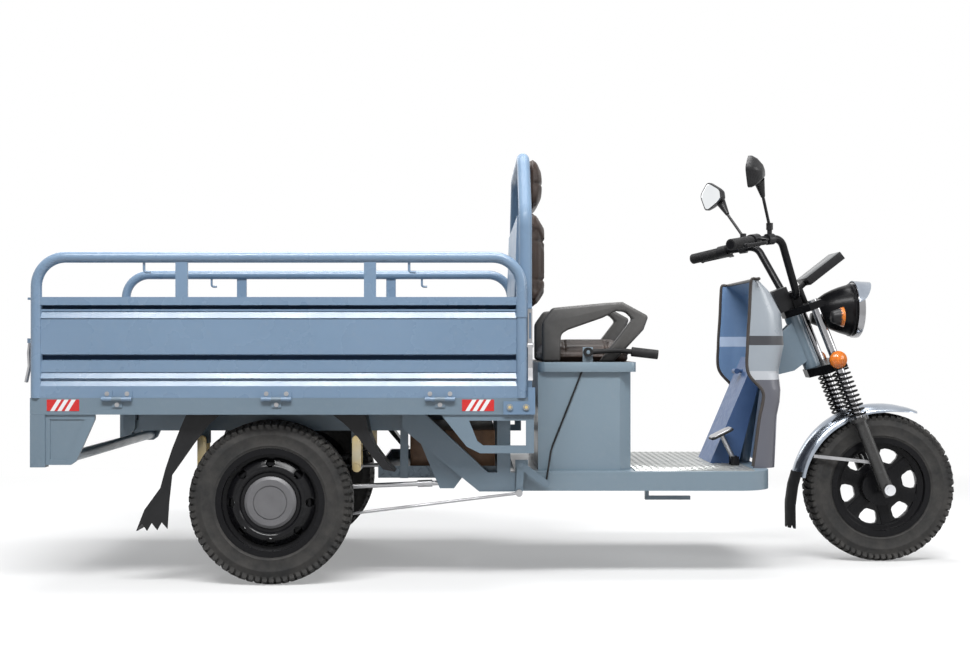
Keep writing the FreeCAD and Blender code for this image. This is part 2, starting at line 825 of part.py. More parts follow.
# Tyres: a hollow carcass open towards the rim
def tyre(x, y, z, half, crown):
    bead = rim_seat_radius + seat_gap
    wide = bead + tyre_wall_rise
    shoulder = crown - tyre_shoulder_drop
    inner = half - tyre_skin
    roof = crown - tyre_skin

    def at(r, w):
        return V(x + r, y + w, z)

    edges = []
    flank = bead + tyre_bead_rise
    edges.append(Part.makeLine(at(bead, -tyre_bead_half), at(flank, -tyre_bead_half)))
    outer = [at(flank, -tyre_bead_half), at(wide, -half), at(shoulder, -tyre_shoulder_half)]
    edges.append(Part.Arc(*outer).toShape())
    edges.append(Part.Arc(outer[2], at(crown, 0), at(shoulder, tyre_shoulder_half)).toShape())
    far = [at(shoulder, tyre_shoulder_half), at(wide, half), at(flank, tyre_bead_half)]
    edges.append(Part.Arc(*far).toShape())
    edges.append(Part.makeLine(far[2], at(bead, tyre_bead_half)))
    edges.append(Part.makeLine(at(bead, tyre_bead_half), at(bead, tyre_bead_half - tyre_skin)))
    edges.append(Part.Arc(at(bead, tyre_bead_half - tyre_skin), at(wide, inner),
                          at(shoulder - tyre_skin, tyre_shoulder_half - tyre_skin)).toShape())
    edges.append(Part.Arc(at(shoulder - tyre_skin, tyre_shoulder_half - tyre_skin), at(roof, 0),
                          at(shoulder - tyre_skin, tyre_skin - tyre_shoulder_half)).toShape())
    edges.append(Part.Arc(at(shoulder - tyre_skin, tyre_skin - tyre_shoulder_half), at(wide, -inner),
                          at(bead, tyre_skin - tyre_bead_half)).toShape())
    edges.append(Part.makeLine(at(bead, tyre_skin - tyre_bead_half), at(bead, -tyre_bead_half)))
    return shell_turned(edges, x, y, z)


# Rims: the barrel is shared, the wheel centre differs front to rear
def rim_barrel():
    side = [(rim_flange_radius, rim_half), (rim_flange_radius, rim_half - rim_skin),
            (rim_seat_radius, rim_half - rim_skin), (rim_seat_radius, rim_well_half + rim_skin),
            (rim_well_radius, rim_well_half)]
    lower = [(r - rim_skin, w - (rim_skin if r == rim_well_radius else 0)) for r, w in side[2:]]
    lower = [(rim_seat_radius - rim_skin, rim_half)] + lower[1:]
    half = side + [(r, -w) for r, w in reversed(side)]
    return half + [(r, -w) for r, w in lower] + list(reversed(lower))


def rear_wheel(sign):
    y = sign * rear_wheel_y
    z = axle_z
    x = rear_axle_x
    barrel = turned(rim_barrel(), x, y, z, sign)
    inner_well = rim_well_radius - rim_skin / 2
    dish = [(inner_well, disc_skin), (inner_well, 0), (disc_ring_radius, disc_face - disc_skin),
            (disc_hub_radius, disc_face - disc_skin), (hub_bore_radius, disc_face - disc_skin),
            (hub_bore_radius, disc_face), (disc_hub_radius, disc_face),
            (disc_ring_radius + disc_skin, disc_face)]
    rim = fuse(barrel, turned(dish, x, y, z, sign))
    holes = []
    for i in range(disc_hole_count):
        angle = 2 * math.pi * i / disc_hole_count
        px = x + disc_hole_pitch * math.cos(angle)
        pz = z + disc_hole_pitch * math.sin(angle)
        holes.append(disc(px, y - overrun, y + sign * (disc_face + overrun), pz, disc_hole_radius))
    drum = [(drum_radius, -drum_depth), (drum_radius, disc_face - disc_skin),
            (hub_bore_radius, disc_face - disc_skin), (hub_bore_radius, -disc_skin),
            (drum_radius - rim_skin, -disc_skin), (drum_radius - rim_skin, -drum_depth)]
    rim = fuse(cut(rim, *holes), turned(drum, x, y, z, sign))
    face = disc_face + seat_gap
    cap = [(0, face), (cap_radius, face), (cap_radius, face + cap_rim), (cap_radius - cap_rim,
                                                                         face + cap_height),
           (cap_ring_radius, face + cap_height), (cap_ring_radius, face + cap_height - cap_groove),
           (cap_ring_radius - cap_groove, face + cap_height - cap_groove),
           (cap_ring_radius - cap_groove, face + cap_height), (0, face + cap_height)]
    return rim, turned(cap, x, y, z, sign), tyre(x, y, z, rear_tyre_half, tyre_radius)


for name, sign in (("right", -1), ("left", 1)):
    rim, cap, ring = rear_wheel(sign)
    save("rear_rim_" + name, rim)
    save("hub_cap_" + name, cap)
    save("rear_tyre_" + name, ring)

# Rear axle: tube, differential bulge, spring pads and brake plates
axle = rod(V(rear_axle_x, -axle_half, axle_z), V(rear_axle_x, axle_half, axle_z), axle_tube_radius)
stub = rod(V(rear_axle_x, -axle_stub_half, axle_z), V(rear_axle_x, axle_stub_half, axle_z),
           hub_bore_radius - running_gap)
bulge = [(0, -diff_neck_half), (diff_neck_radius, -diff_neck_half), (diff_radius, -diff_half),
         (diff_radius, diff_half), (diff_neck_radius, diff_neck_half), (0, diff_neck_half)]
pieces = [axle, stub, turned(bulge, rear_axle_x, 0, axle_z, 1)]
pad_top = spring_low_z - seat_gap
for sign in (-1, 1):
    inner = sign * spring_y - spring_half_width
    outer = sign * spring_y + spring_half_width
    pieces.append(block(rear_axle_x - spring_pad_half, rear_axle_x + spring_pad_half, inner, outer,
                        axle_z, pad_top))
    plate_in = sign * axle_half
    plate_out = sign * (axle_half + brake_plate_skin)
    pieces.append(disc(rear_axle_x, plate_in, plate_out, axle_z, brake_plate_radius))
arm = fuse(disc(brake_arm_x, -axle_half + brake_arm_skin, -axle_half, brake_arm_z, brake_arm_half),
           disc(brake_arm_pivot_x, -axle_half + brake_arm_skin, -axle_half, brake_arm_pivot_z,
                brake_arm_half),
           side_plate([(brake_arm_x, brake_arm_z - brake_arm_half), (brake_arm_x,
                                                                     brake_arm_z + brake_arm_half),
                       (brake_arm_pivot_x, brake_arm_pivot_z + brake_arm_half),
                       (brake_arm_pivot_x, brake_arm_pivot_z - brake_arm_half)],
                      -axle_half, -axle_half + brake_arm_skin))
pieces.append(arm)
neck = block(motor_x, rear_axle_x, motor_inner_y + motor_cap_skin, gear_neck_half,
             axle_z - gear_neck_half,
             axle_z + gear_neck_half)
motor_core = disc(motor_x, motor_inner_y - overrun, motor_outer_y + overrun, motor_z,
                  motor_radius + motor_fin_height + seat_gap)
pieces.append(cut(neck, motor_core))
save("axle_housing", fuse(*pieces))

# Drive motor: finned barrel with end caps
motor = [disc(motor_x, motor_inner_y, motor_outer_y, motor_z, motor_radius)]
motor.append(disc(motor_x, motor_outer_y, motor_outer_y + motor_cap_skin, motor_z, motor_cap_radius))
fin_run = (motor_outer_y - motor_inner_y) / motor_fin_count
for i in range(motor_fin_count):
    start = motor_inner_y + fin_run * i
    motor.append(disc(motor_x, start, start + motor_fin_width, motor_z, motor_radius + motor_fin_height))
save("drive_motor", fuse(*motor))


# Leaf springs: stacked arcs, the main leaf rolled into an eye at each end
def leaf(inset, drop, y0, y1):
    x0 = spring_rear_x + inset
    x1 = spring_front_x - inset
    rise = spring_eye_z - spring_low_z - spring_eye_radius
    span = (spring_front_x - spring_rear_x) / 2
    middle = (spring_rear_x + spring_front_x) / 2

    def height(x):
        return spring_low_z + leaf_skin * (leaf_count - 1) + rise * ((x - middle) / span) ** 2 - drop

    def arc(lift):
        ends = [V(x, y0, height(x) + lift) for x in (x0, middle, x1)]
        return Part.Arc(*ends).toShape(), ends[0], ends[2]

    low, low_a, low_b = arc(0)
    top, top_a, top_b = arc(leaf_skin)
    wire = Part.Wire([low, Part.makeLine(low_b, top_b), top, Part.makeLine(top_a, low_a)])
    return Part.Face(wire).extrude(V(0, y1 - y0, 0)), V(x0, 0, height(x0)), V(x1, 0, height(x1))


def leaf_spring(sign):
    y0 = sign * spring_y - spring_half_width
    y1 = sign * spring_y + spring_half_width
    stack = []
    for i in range(leaf_count):
        stack.append(leaf(leaf_step_in * i, leaf_skin * i, y0, y1)[0])
    for x in (spring_rear_x, spring_front_x):
        stack.append(disc(x, y0, y1, spring_eye_z, spring_eye_radius))
    body = fuse(*stack)
    for x in (spring_rear_x, spring_front_x):
        body = body.cut(disc(x, y0 - overrun, y1 + overrun, spring_eye_z, spring_eye_bore))
    return body


save("leaf_springs", leaf_spring(-1), leaf_spring(1))

# Shackles: two side straps on two bolts at every spring end
shackles = []
for sign in (-1, 1):
    for x in (spring_rear_x, spring_front_x):
        y0 = sign * spring_y - spring_half_width - seat_gap - shackle_skin
        y1 = sign * spring_y + spring_half_width + seat_gap + shackle_skin
        straps = []
        for side_y in (y0, y1 - shackle_skin):
            straps.append(block(x - shackle_half_width, x + shackle_half_width, side_y, side_y + shackle_skin,
                                spring_eye_z, shackle_top_z))
            for z in (spring_eye_z, shackle_top_z):
                straps.append(disc(x, side_y, side_y + shackle_skin, z, shackle_half_width))
        for z in (spring_eye_z, shackle_top_z):
            straps.append(disc(x, y0 - shackle_bolt_head, y1 + shackle_bolt_head, z, shackle_bolt_radius))
            straps.append(disc(x, y0 - shackle_bolt_head, y0, z, shackle_bolt_head_radius))
            straps.append(disc(x, y1, y1 + shackle_bolt_head, z, shackle_bolt_head_radius))
        shackles.append(fuse(*straps))
save("spring_shackles", *shackles)

# Chassis rails, side beams, cross members, hangers and lugs
rail_in = rail_y - rail_half_width
rail_out = rail_y + rail_half_width
frame = []
for sign in (-1, 1):
    y0, y1 = sorted((sign * rail_in, sign * rail_out))
    frame.append(box_tube(rail_rear_x, rail_front_x, y0, y1, rail_low_z, rail_top_z, rail_wall, "x"))
    y0, y1 = sorted((sign * sill_inner_y, sign * sill_outer_y))
    frame.append(side_plate(sill_side_points, y0, y1))
    frame.append(block(upright_rear_x, upright_front_x, y0, y1, platform_top_z, rail_top_z))
    y0, y1 = sorted((sign * rail_out, sign * (rail_out + hanger_skin)))
    frame.append(block(hanger_rear_x, hanger_front_x, y0, y1, hanger_low_z, hanger_top_z))
    y0, y1 = sorted((sign * thrust_lug_inner_y, sign * thrust_lug_outer_y))
    frame.append(side_plate(thrust_lug_points, y0, y1))
    for x in (spring_rear_x, spring_front_x):
        lug = block(x - shackle_lug_half, x + shackle_lug_half, sign * rail_y - rail_half_width + rail_wall,
                    sign * rail_y + rail_half_width - rail_wall, shackle_lug_low_z, rail_low_z)
        hole = disc(x, sign * rail_in - sign * overrun, sign * rail_out + sign * overrun, shackle_top_z,
                    shackle_bolt_radius + seat_gap)
        frame.append(lug.cut(hole))
    y0, y1 = sorted((sign * tip_lug_inner_y, sign * tip_lug_outer_y))
    frame.append(disc(tip_x, y0, y1, tip_z, tip_lug_radius))
    frame.append(block(tip_x, rail_rear_x + rail_wall, y0, y1, tip_z - tip_lug_radius,
                       tip_z + tip_lug_radius))
    frame.append(disc(tip_x, y0 - tip_ear_skin - seat_gap, y1 + tip_ear_skin + seat_gap, tip_z,
                      tip_pin_radius))
frame.append(block(sill_side_points[0][0], rail_front_x, -sill_outer_y, sill_outer_y,
                   sill_side_points[-1][1], sill_side_points[0][1]))
frame.append(box_tube(rail_rear_x, cross_rear_x, -rail_in, rail_in, cross_low_z, rail_top_z, rail_wall, "y"))
frame.append(box_tube(cross_mid_rear_x, cross_mid_front_x, -rail_in, rail_in, cross_low_z, rail_top_z,
                      rail_wall, "y"))
frame.append(box_tube(tray_bar_x - tray_bar_half, tray_bar_x + tray_bar_half, -sill_inner_y, sill_inner_y,
                      tray_bar_low_z, tray_low_z - seat_gap, rail_wall, "y"))
save("chassis_rails", fuse(*frame))

# Footwell platform, open below, with the crank lug on its right side
shell = block(platform_rear_x + seat_gap, platform_front_x, -platform_half, platform_half, platform_low_z,
              platform_top_z)
corners = [e for e in shell.Edges if e.BoundBox.ZLength > platform_top_skin * 2
           and e.CenterOfMass.x > platform_front_x - overrun]
shell = shell.makeFillet(platform_corner, corners)
core = block(platform_rear_x + seat_gap + platform_side_skin, platform_front_x - platform_side_skin,
             platform_side_skin - platform_half, platform_half - platform_side_skin,
             platform_low_z - overrun, platform_top_z - platform_top_skin)
corners = [e for e in core.Edges if e.BoundBox.ZLength > platform_top_skin * 2
           and e.CenterOfMass.x > platform_front_x - overrun - platform_side_skin]
core = core.makeFillet(platform_corner - platform_side_skin, corners)
lug = block(platform_rear_x + seat_gap, crank_lug_front_x, -platform_half - crank_lug_skin, -platform_half,
            crank_lug_low_z, crank_lug_top_z)
pin = disc(crank_x, -platform_half, crank_pin_end_y, crank_z, crank_pin_radius)
drop = block(linkage_rear_x, linkage_rear_x + linkage_bar, linkage_y - linkage_lug_half,
             linkage_y + linkage_lug_half, linkage_low_z, platform_top_z - platform_top_skin)
bar = block(linkage_rear_x, linkage_front_x, linkage_y - linkage_lug_half, linkage_y + linkage_lug_half,
            linkage_low_z, linkage_low_z + linkage_bar)
save("platform", fuse(shell.cut(core), lug, pin, drop, bar))

# Tread plate with the pedal's lugs and pin
tread_low = platform_top_z + seat_gap
tread_top = tread_low + tread_skin
tread = [block(tread_rear_x, tread_front_x, -tread_half, tread_half, tread_low, tread_top)]
for y in (pedal_y - pedal_hub_half - seat_gap - pedal_lug_skin, pedal_y + pedal_hub_half + seat_gap):
    tread.append(block(pedal_x - pedal_lug_half, pedal_x + pedal_lug_half, y, y + pedal_lug_skin,
                       tread_low, pedal_z + pedal_lug_half))
tread.append(disc(pedal_x, pedal_y - pedal_hub_half - pedal_lug_skin,
                  pedal_y + pedal_hub_half + pedal_lug_skin,
                  pedal_z, pedal_pin_radius))
save("tread_plate", fuse(*tread))

# Foot brake pedal
hub = disc(pedal_x, pedal_y - pedal_hub_half, pedal_y + pedal_hub_half, pedal_z, pedal_hub_radius)
stem = rod(V(pedal_x, pedal_y, pedal_z), V(pedal_pad_x, pedal_y, pedal_pad_z), pedal_stem_radius)
lean = V(pedal_pad_x - pedal_x, 0, pedal_pad_z - pedal_z)
pad = Part.makeBox(pedal_pad_skin, pedal_pad_half * 2, pedal_pad_half * 2,
                   V(-pedal_pad_skin / 2, -pedal_pad_half, -pedal_pad_half))
pad.rotate(V(0, 0, 0), V(0, 1, 0), -math.degrees(math.atan2(-lean.x, lean.z)))
pad.translate(V(pedal_pad_x, pedal_y, pedal_pad_z))
pin_hole = disc(pedal_x, pedal_y - pedal_hub_half - overrun, pedal_y + pedal_hub_half + overrun, pedal_z,
                pedal_pin_radius + running_gap)
save("brake_pedal", fuse(hub, stem, pad).cut(pin_hole))

# Seat box, base, cushion and armrests
box_low = platform_top_z + seat_gap


def seat_outline(inset):
    front = seat_box_front_x - inset
    side = seat_box_half - inset
    rear = seat_rear_x + inset
    chamfer = seat_box_chamfer
    return [(rear, -side), (front - chamfer, -side), (front, chamfer - side), (front, side - chamfer),
            (front - chamfer, side), (rear, side)]


box = plan_plate(seat_outline(0), box_low, seat_box_top_z)
box = box.cut(plan_plate(seat_outline(seat_box_skin), box_low - overrun, seat_box_top_z - seat_box_skin))
save("seat_box", box)
base_low = seat_box_top_z + seat_gap
base_mid_x = (seat_rear_x + seat_base_front_x) / 2
base_half_x = (seat_base_front_x - seat_rear_x) / 2


def upright_place(point):
    return point


base = Part.Face(rounded_ring(base_mid_x, 0, base_half_x, seat_base_half, seat_base_corner, base_low,
                              upright_place))
base = base.extrude(V(0, 0, seat_base_top_z - base_low))
cable_run = [V(*point) for point in cable_points]
cable_rise = cable_run[3] - cable_run[2]
cable_hole = rod(cable_run[2], cable_run[2] + cable_rise * cable_hole_share, cable_hole_radius)
lug_y0 = lever_y + lever_hub_half + seat_gap
lug = block(lever_x - lever_lug_half, lever_x + lever_lug_half, lug_y0, lug_y0 + lever_lug_skin, base_low,
            lever_z + lever_lug_half)
pin = disc(lever_x, lever_y - lever_hub_half, lug_y0 + lever_lug_skin, lever_z, lever_pin_radius)
save("seat_base", fuse(base.cut(cable_hole), lug, pin))
seat_mid_x = (cushion_rear_x + cushion_front_x) / 2
seat_half_x = (cushion_front_x - cushion_rear_x) / 2
save("seat_cushion", cushion(seat_mid_x, 0, seat_half_x, cushion_half, cushion_corner, cushion_levels,
                             upright_place))
arm = side_plate(arm_points, arm_inner_y, arm_outer_y)
arm = arm.cut(side_plate(arm_window_points, arm_inner_y - overrun, arm_outer_y + overrun))
save("armrests", arm, mirrored(arm))

# Hand brake lever and cable
lever = bent_bar([V(lever_x, lever_y, lever_z), V(lever_mid_x, lever_y, lever_mid_z),
                  V(lever_end_x, lever_y, lever_end_z)], lever_bend, lever_radius)
grip = rod(V(lever_grip_x, lever_y, lever_grip_z), V(lever_end_x, lever_y, lever_end_z), lever_grip_radius)
hub = disc(lever_x, lever_y - lever_hub_half, lever_y + lever_hub_half, lever_z, lever_hub_radius)
hole = disc(lever_x, lever_y - lever_hub_half - overrun, lever_y + lever_hub_half + overrun, lever_z,
            lever_pin_radius + running_gap)
save("hand_brake_lever", fuse(lever, grip, hub).cut(hole))
cable_path = bent_wire(cable_run, cable_bend)
cable = bent_bar(cable_run, cable_bend, cable_radius)
print("hand brake cable volume over section times length:",
      round(cable.Volume / (math.pi * cable_radius ** 2 * cable_path.Length), 4))
print("hand brake cable length:", round(cable_path.Length, 1), "bend radius:", cable_bend)
save("hand_brake_cable", cable)

# Bell crank and long brake rod
crank = [disc(crank_x, crank_outer_y, crank_inner_y, crank_z, crank_boss_radius)]
for x, z in ((crank_low_x, crank_low_z), (crank_arm_x, crank_arm_z)):
    crank.append(disc(x, crank_outer_y, crank_inner_y, z, crank_eye_radius))
    run = V(x - crank_x, 0, z - crank_z).normalize()
    across = V(-run.z, 0, run.x) * crank_eye_radius
    ends = [V(crank_x, 0, crank_z) + across, V(x, 0, z) + across, V(x, 0, z) - across, V(crank_x, 0,
                                                                                         crank_z) - across]
    crank.append(side_plate([(p.x, p.z) for p in ends], crank_outer_y, crank_inner_y))
hole = disc(crank_x, crank_outer_y - overrun, crank_inner_y + overrun, crank_z,
            crank_pin_radius + running_gap)
save("bell_crank", fuse(*crank).cut(hole))
front_y = crank_outer_y - brake_rod_out
eye_face = crank_outer_y - seat_gap
rod_front = V(crank_low_x, front_y, crank_low_z)
rod_rear = V(brake_arm_x, brake_rod_rear_y, brake_arm_z)
rod_run = (rod_rear - rod_front).normalize()
long_rod = rod(rod_front, rod_rear, brake_rod_radius)
eye = disc(crank_low_x, eye_face - brake_rod_eye_skin, eye_face, crank_low_z, crank_eye_radius)
clevis = rod(rod_rear, rod_rear - rod_run * clevis_length, clevis_radius)
save("brake_rod", fuse(long_rod, eye, clevis))

# Battery tray and pack
tray = block(tray_rear_x, tray_front_x, -tray_half, tray_half, tray_low_z, tray_top_z)
tray = tray.cut(block(tray_rear_x + tray_skin, tray_front_x - tray_skin, tray_skin - tray_half,
                      tray_half - tray_skin,
                      tray_low_z + tray_skin, tray_top_z + overrun))
save("battery_tray", tray)
battery_low = tray_low_z + tray_skin + seat_gap
cell = battery_half * 2 / battery_cell_count
cells = []
for i in range(battery_cell_count):
    y0 = -battery_half + cell * i
    cells.append(block(battery_rear_x, battery_front_x, y0, y0 + cell - battery_cell_gap, battery_low,
                       battery_top_z - battery_lid))
cells.append(block(battery_rear_x, battery_front_x, -battery_half, battery_half - battery_cell_gap,
                   battery_top_z - battery_lid, battery_top_z))
save("battery_pack", fuse(*cells))


# Leg shield: a lofted skin, C-shaped in plan and open to the rear
def shield_ring(level, rear, front, corner):
    side = shield_half
    inner = corner - shield_skin
    diag = math.sqrt(2) / 2

    def arc(radius, sign):
        cx = front - corner
        cy = sign * (side - corner)
        points = [V(cx, cy + sign * radius, level), V(cx + radius * diag, cy + sign * radius * diag, level),
                  V(cx + radius, cy, level)]
        return points if sign > 0 else points[::-1]

    run = [V(rear, side, level)] + [arc(corner, 1), arc(corner, -1)] + [V(rear, -side, level)]
    back = [V(rear, shield_skin - side, level)] + [arc(inner, -1)[::-1], arc(inner, 1)[::-1]]
    back.append(V(rear, side - shield_skin, level))
    edges = []
    last = None
    for item in run + back:
        first = item if isinstance(item, V) else item[0]
        if last is not None:
            edges.append(Part.makeLine(last, first))
        if not isinstance(item, V):
            edges.append(Part.Arc(*item).toShape())
        last = item if isinstance(item, V) else item[2]
    edges.append(Part.makeLine(last, run[0]))
    return Part.Wire(edges)


shield = Part.makeLoft([shield_ring(*level) for level in shield_levels], True, True)
slot = block(platform_front_x, front_axle_x, -shield_slot_half, shield_slot_half, shield_slot_low_z,
             shield_slot_top_z)
save("leg_shield", shield.cut(slot))

# Knee panel: a hollow wedge over the down tube, with the bag hook on it
knee = side_plate(knee_points, -knee_half, knee_half)
knee = knee.cut(side_plate(knee_core_points, knee_skin - knee_half, knee_half - knee_skin))
slope = (knee_points[0][0] - knee_points[1][0]) / (knee_points[0][1] - knee_points[1][1])
hook_root = knee_points[1][0] + slope * (hook_z - knee_points[1][1])
arm = rod(V(hook_root + knee_skin / 2, 0, hook_z), V(hook_root - hook_reach, 0, hook_z), hook_radius)
bar = rod(V(hook_root - hook_reach, -hook_bar_half, hook_z), V(hook_root - hook_reach, hook_bar_half, hook_z),
          hook_head_radius)
save("knee_panel", fuse(knee, arm, bar))


# Rear mudguards: a side web, a sheet over the wheel, a carrying arm and a flap
def mudguards(sign):
    made = []
    web = sorted((sign * guard_outer_y, sign * (guard_outer_y - guard_skin)))
    across = sorted((sign * guard_inner_y, sign * guard_outer_y))
    reach = sorted((sign * (rail_out + seat_gap), sign * guard_outer_y))
    for points, arm_x in ((guard_rear_points, guard_arm_rear_x), (guard_front_points, guard_arm_front_x)):
        parts = [side_plate(points, *web)]
        edge = points[6:] + points[:1] if points is guard_rear_points else points[1:6]
        if points is guard_rear_points:
            inner = [(x + guard_skin, z) for x, z in edge]
        else:
            inner = [(x - guard_skin, z) for x, z in edge]
        parts.append(side_plate(edge + inner[::-1], *across))
        parts.append(block(arm_x - guard_arm_half, arm_x + guard_arm_half, *reach, guard_arm_low_z,
                           points[0][1]))
        if points is guard_rear_points:
            parts.append(side_plate(flap_points, *web))
            drop = [flap_points[0], flap_points[-1], flap_points[-2]]
            inner = [(x + guard_skin, z) for x, z in drop]
            parts.append(side_plate(drop + inner[::-1], *across))
        made.append(fuse(*parts))
    return made


save("mudguards", *mudguards(-1), *mudguards(1))


# Head frame in the tilted steering frame: x ahead of the fork line, z up along it
def raked(shape):
    shape = shape.copy()
    shape.rotate(V(0, 0, 0), V(0, 1, 0), -rake_deg)
    shape.translate(V(front_axle_x, 0, axle_z))
    return shape


tube_low = yoke_low + yoke_low_half + seat_gap
tube_high = yoke_high - yoke_high_half - seat_gap
head = raked(rod(V(-stem_back, 0, tube_low), V(-stem_back, 0, tube_high), head_tube_radius))
bore = raked(rod(V(-stem_back, 0, tube_low - overrun), V(-stem_back, 0, tube_high + overrun),
                 stem_radius + running_gap))
down = bent_bar([V(x, 0, z) for x, z in down_tube_points], down_tube_bend, down_tube_radius)
down = down.cut(block(seat_rear_x, platform_front_x + platform_corner, -platform_half, platform_half, 0,
                      platform_top_z + seat_gap))
plates = [side_plate(gusset_points, gusset_inner_y, gusset_outer_y)]
plates.append(mirrored(plates[0]))
save("head_frame", fuse(head, down, *plates).cut(bore))

# Thrust rods between the side beams and the axle
def thrust_rod(sign):
    y = sign * thrust_y
    front = V(thrust_x, y, thrust_z)
    rear = V(thrust_rear_x, y, thrust_rear_z)
    run = (rear - front).normalize()
    ends = sorted((sign * thrust_eye_inner_y, sign * (thrust_lug_inner_y - seat_gap)))
    pieces = [rod(front, rear, thrust_radius), disc(thrust_x, *ends, thrust_z, thrust_eye_radius)]
    tail = sorted((sign * (spring_y + spring_half_width + seat_gap), sign * (thrust_y + thrust_radius)))
    pieces.append(disc(thrust_rear_x, *tail, thrust_rear_z, thrust_eye_radius))
    nut = front + run * thrust_nut_length
    pieces.append(rod(nut, nut + run * thrust_nut_length, thrust_nut_radius))
    return fuse(*pieces)


save("thrust_rods", thrust_rod(-1), thrust_rod(1))


# Hinge halves drawn at a face on y = 0, facing -Y, before they are carried to their place
def hinge_body(u):
    barrel = rod(V(u - hinge_knuckle_half, -hinge_out, hinge_z), V(u + hinge_knuckle_half, -hinge_out,
                                                                   hinge_z),
                 hinge_radius)
    pin = rod(V(u - hinge_half, -hinge_out, hinge_z), V(u + hinge_half, -hinge_out, hinge_z),
              hinge_pin_radius)
    leaf_plate = block(u - hinge_knuckle_half, u + hinge_knuckle_half, -hinge_leaf_skin, 0,
                       hinge_leaf_low_z, hinge_z)
    return [barrel, pin, leaf_plate]


def hinge_leaves(u):
    made = []
    for near, far in ((u - hinge_half, u - hinge_knuckle_half - seat_gap),
                      (u + hinge_knuckle_half + seat_gap, u + hinge_half)):
        leaf_plate = block(near, far, -hinge_leaf_skin, 0, hinge_z, hinge_leaf_top_z)
        barrel = rod(V(near, -hinge_out, hinge_z), V(far, -hinge_out, hinge_z), hinge_radius)
        hole = rod(V(near - overrun, -hinge_out, hinge_z), V(far + overrun, -hinge_out, hinge_z),
                   hinge_pin_radius + running_gap)
        made.append(fuse(leaf_plate, barrel).cut(hole))
    return made


def to_right(shape):
    shape = shape.copy()
    shape.translate(V(0, -bed_half, 0))
    return shape


def to_rear(shape):
    shape = shape.copy()
    shape.rotate(V(0, 0, 0), V(0, 0, 1), -90)
    shape.translate(V(bed_rear_x, 0, 0))
    return shape


# Bed frame: channel side beams, floor, cross members, tipping ears and hinge halves
beam = block(bed_rear_x, bed_front_x, -bed_half, beam_flange - bed_half, bed_low_z, bed_top_z)
beam = beam.cut(block(bed_rear_x + beam_skin, bed_front_x - beam_skin, beam_skin - bed_half,
                      beam_flange - bed_half + overrun, bed_low_z + beam_skin, bed_top_z - beam_skin))
bed = [beam, mirrored(beam)]
bed.append(block(bed_rear_x, floor_front_x, -bed_half, bed_half, bed_top_z - floor_skin, bed_top_z))
bed.append(block(pan_rear_x, pan_front_x, -pan_half, pan_half, bed_top_z - floor_skin, bed_top_z + pan_skin))
for x in bed_cross_xs:
    bed.append(box_tube(x, x + bed_cross_width, beam_skin - bed_half, bed_half - beam_skin, bed_low_z,
                        bed_top_z - floor_skin, beam_skin, "y"))
for sign in (-1, 1):
    for inner in (tip_lug_inner_y - seat_gap - tip_ear_skin, tip_lug_outer_y + seat_gap):
        y0, y1 = sorted((sign * inner, sign * (inner + tip_ear_skin)))
        ear = fuse(disc(tip_x, y0, y1, tip_z, tip_lug_radius),
                   block(tip_x - tip_lug_radius, tip_x + tip_lug_radius, y0, y1, tip_z,
                         bed_low_z + beam_skin))
        bed.append(ear.cut(disc(tip_x, y0 - overrun, y1 + overrun, tip_z, tip_pin_radius + running_gap)))
ear_bar = box_tube(tip_x - tip_lug_radius, tip_x + tip_lug_radius, beam_skin - bed_half,
                   bed_half - beam_skin, bed_low_z,
                   bed_top_z - floor_skin, beam_skin, "y")
bed.append(ear_bar)
for u in side_hinge_xs:
    for piece in hinge_body(u):
        bed.append(to_right(piece))
        bed.append(mirrored(to_right(piece)))
for u in tail_hinge_ys:
    for piece in hinge_body(u):
        bed.append(to_rear(piece))
save("bed_frame", fuse(*bed))

# Bulkhead: a ribbed sheet across the front of the bed
sheet_low = bed_top_z + seat_gap
ribs = [(bulkhead_front_x - depth / gate_depth * bulkhead_rib_depth, z) for z, depth in gate_sheet]
back = [(x - gate_skin, z) for x, z in reversed(ribs)]
save("bulkhead", side_plate(ribs + back, -bulkhead_half, bulkhead_half))

# Backrest hoop with cross bars and bolted foot plates
hoop_low = bed_top_z + seat_gap
run = [V(hoop_x, -hoop_y, hoop_low), V(hoop_x, -hoop_y, hoop_shoulder_z), V(hoop_x, -hoop_top_y, hoop_top_z),
       V(hoop_x, hoop_top_y, hoop_top_z), V(hoop_x, hoop_y, hoop_shoulder_z), V(hoop_x, hoop_y, hoop_low)]
hoop = [bent_tube(run, hoop_bend, hoop_radius, hoop_wall)]
reach = hoop_y - hoop_radius + hoop_wall / 2
for z in hoop_bar_zs:
    hoop.append(rod(V(hoop_x, -reach, z), V(hoop_x, reach, z), hoop_bar_radius))
feet = []
for sign in (-1, 1):
    y0, y1 = sorted((sign * (bed_half + seat_gap), sign * (bed_half + seat_gap + foot_plate_skin)))
    foot = [side_plate(foot_plate_points, y0, y1)]
    h0, h1 = sorted((sign * (bed_half + seat_gap),
                     sign * (bed_half + seat_gap + foot_plate_skin + foot_bolt_head)))
    for x in foot_bolt_xs:
        foot.append(disc(x, h0, h1, foot_bolt_z, foot_bolt_radius))
    feet.append(fuse(*foot))
save("backrest_hoop", fuse(*hoop), *feet, side_plate(board_points, -board_half, board_half))


# Back cushion and headrest: crowned forms lying against the hoop, their levels counted forwards
def leaning(point):
    return V(point.z, point.y, point.x)


def back_pad(low, top, half, corner, levels):
    return cushion((low + top) / 2, 0, (top - low) / 2, half, corner, levels, leaning)


save("back_cushion", back_pad(back_low_z, back_top_z, back_half, back_corner, back_levels))
save("headrest", back_pad(head_low_z, head_top_z, head_half, head_corner, head_levels))


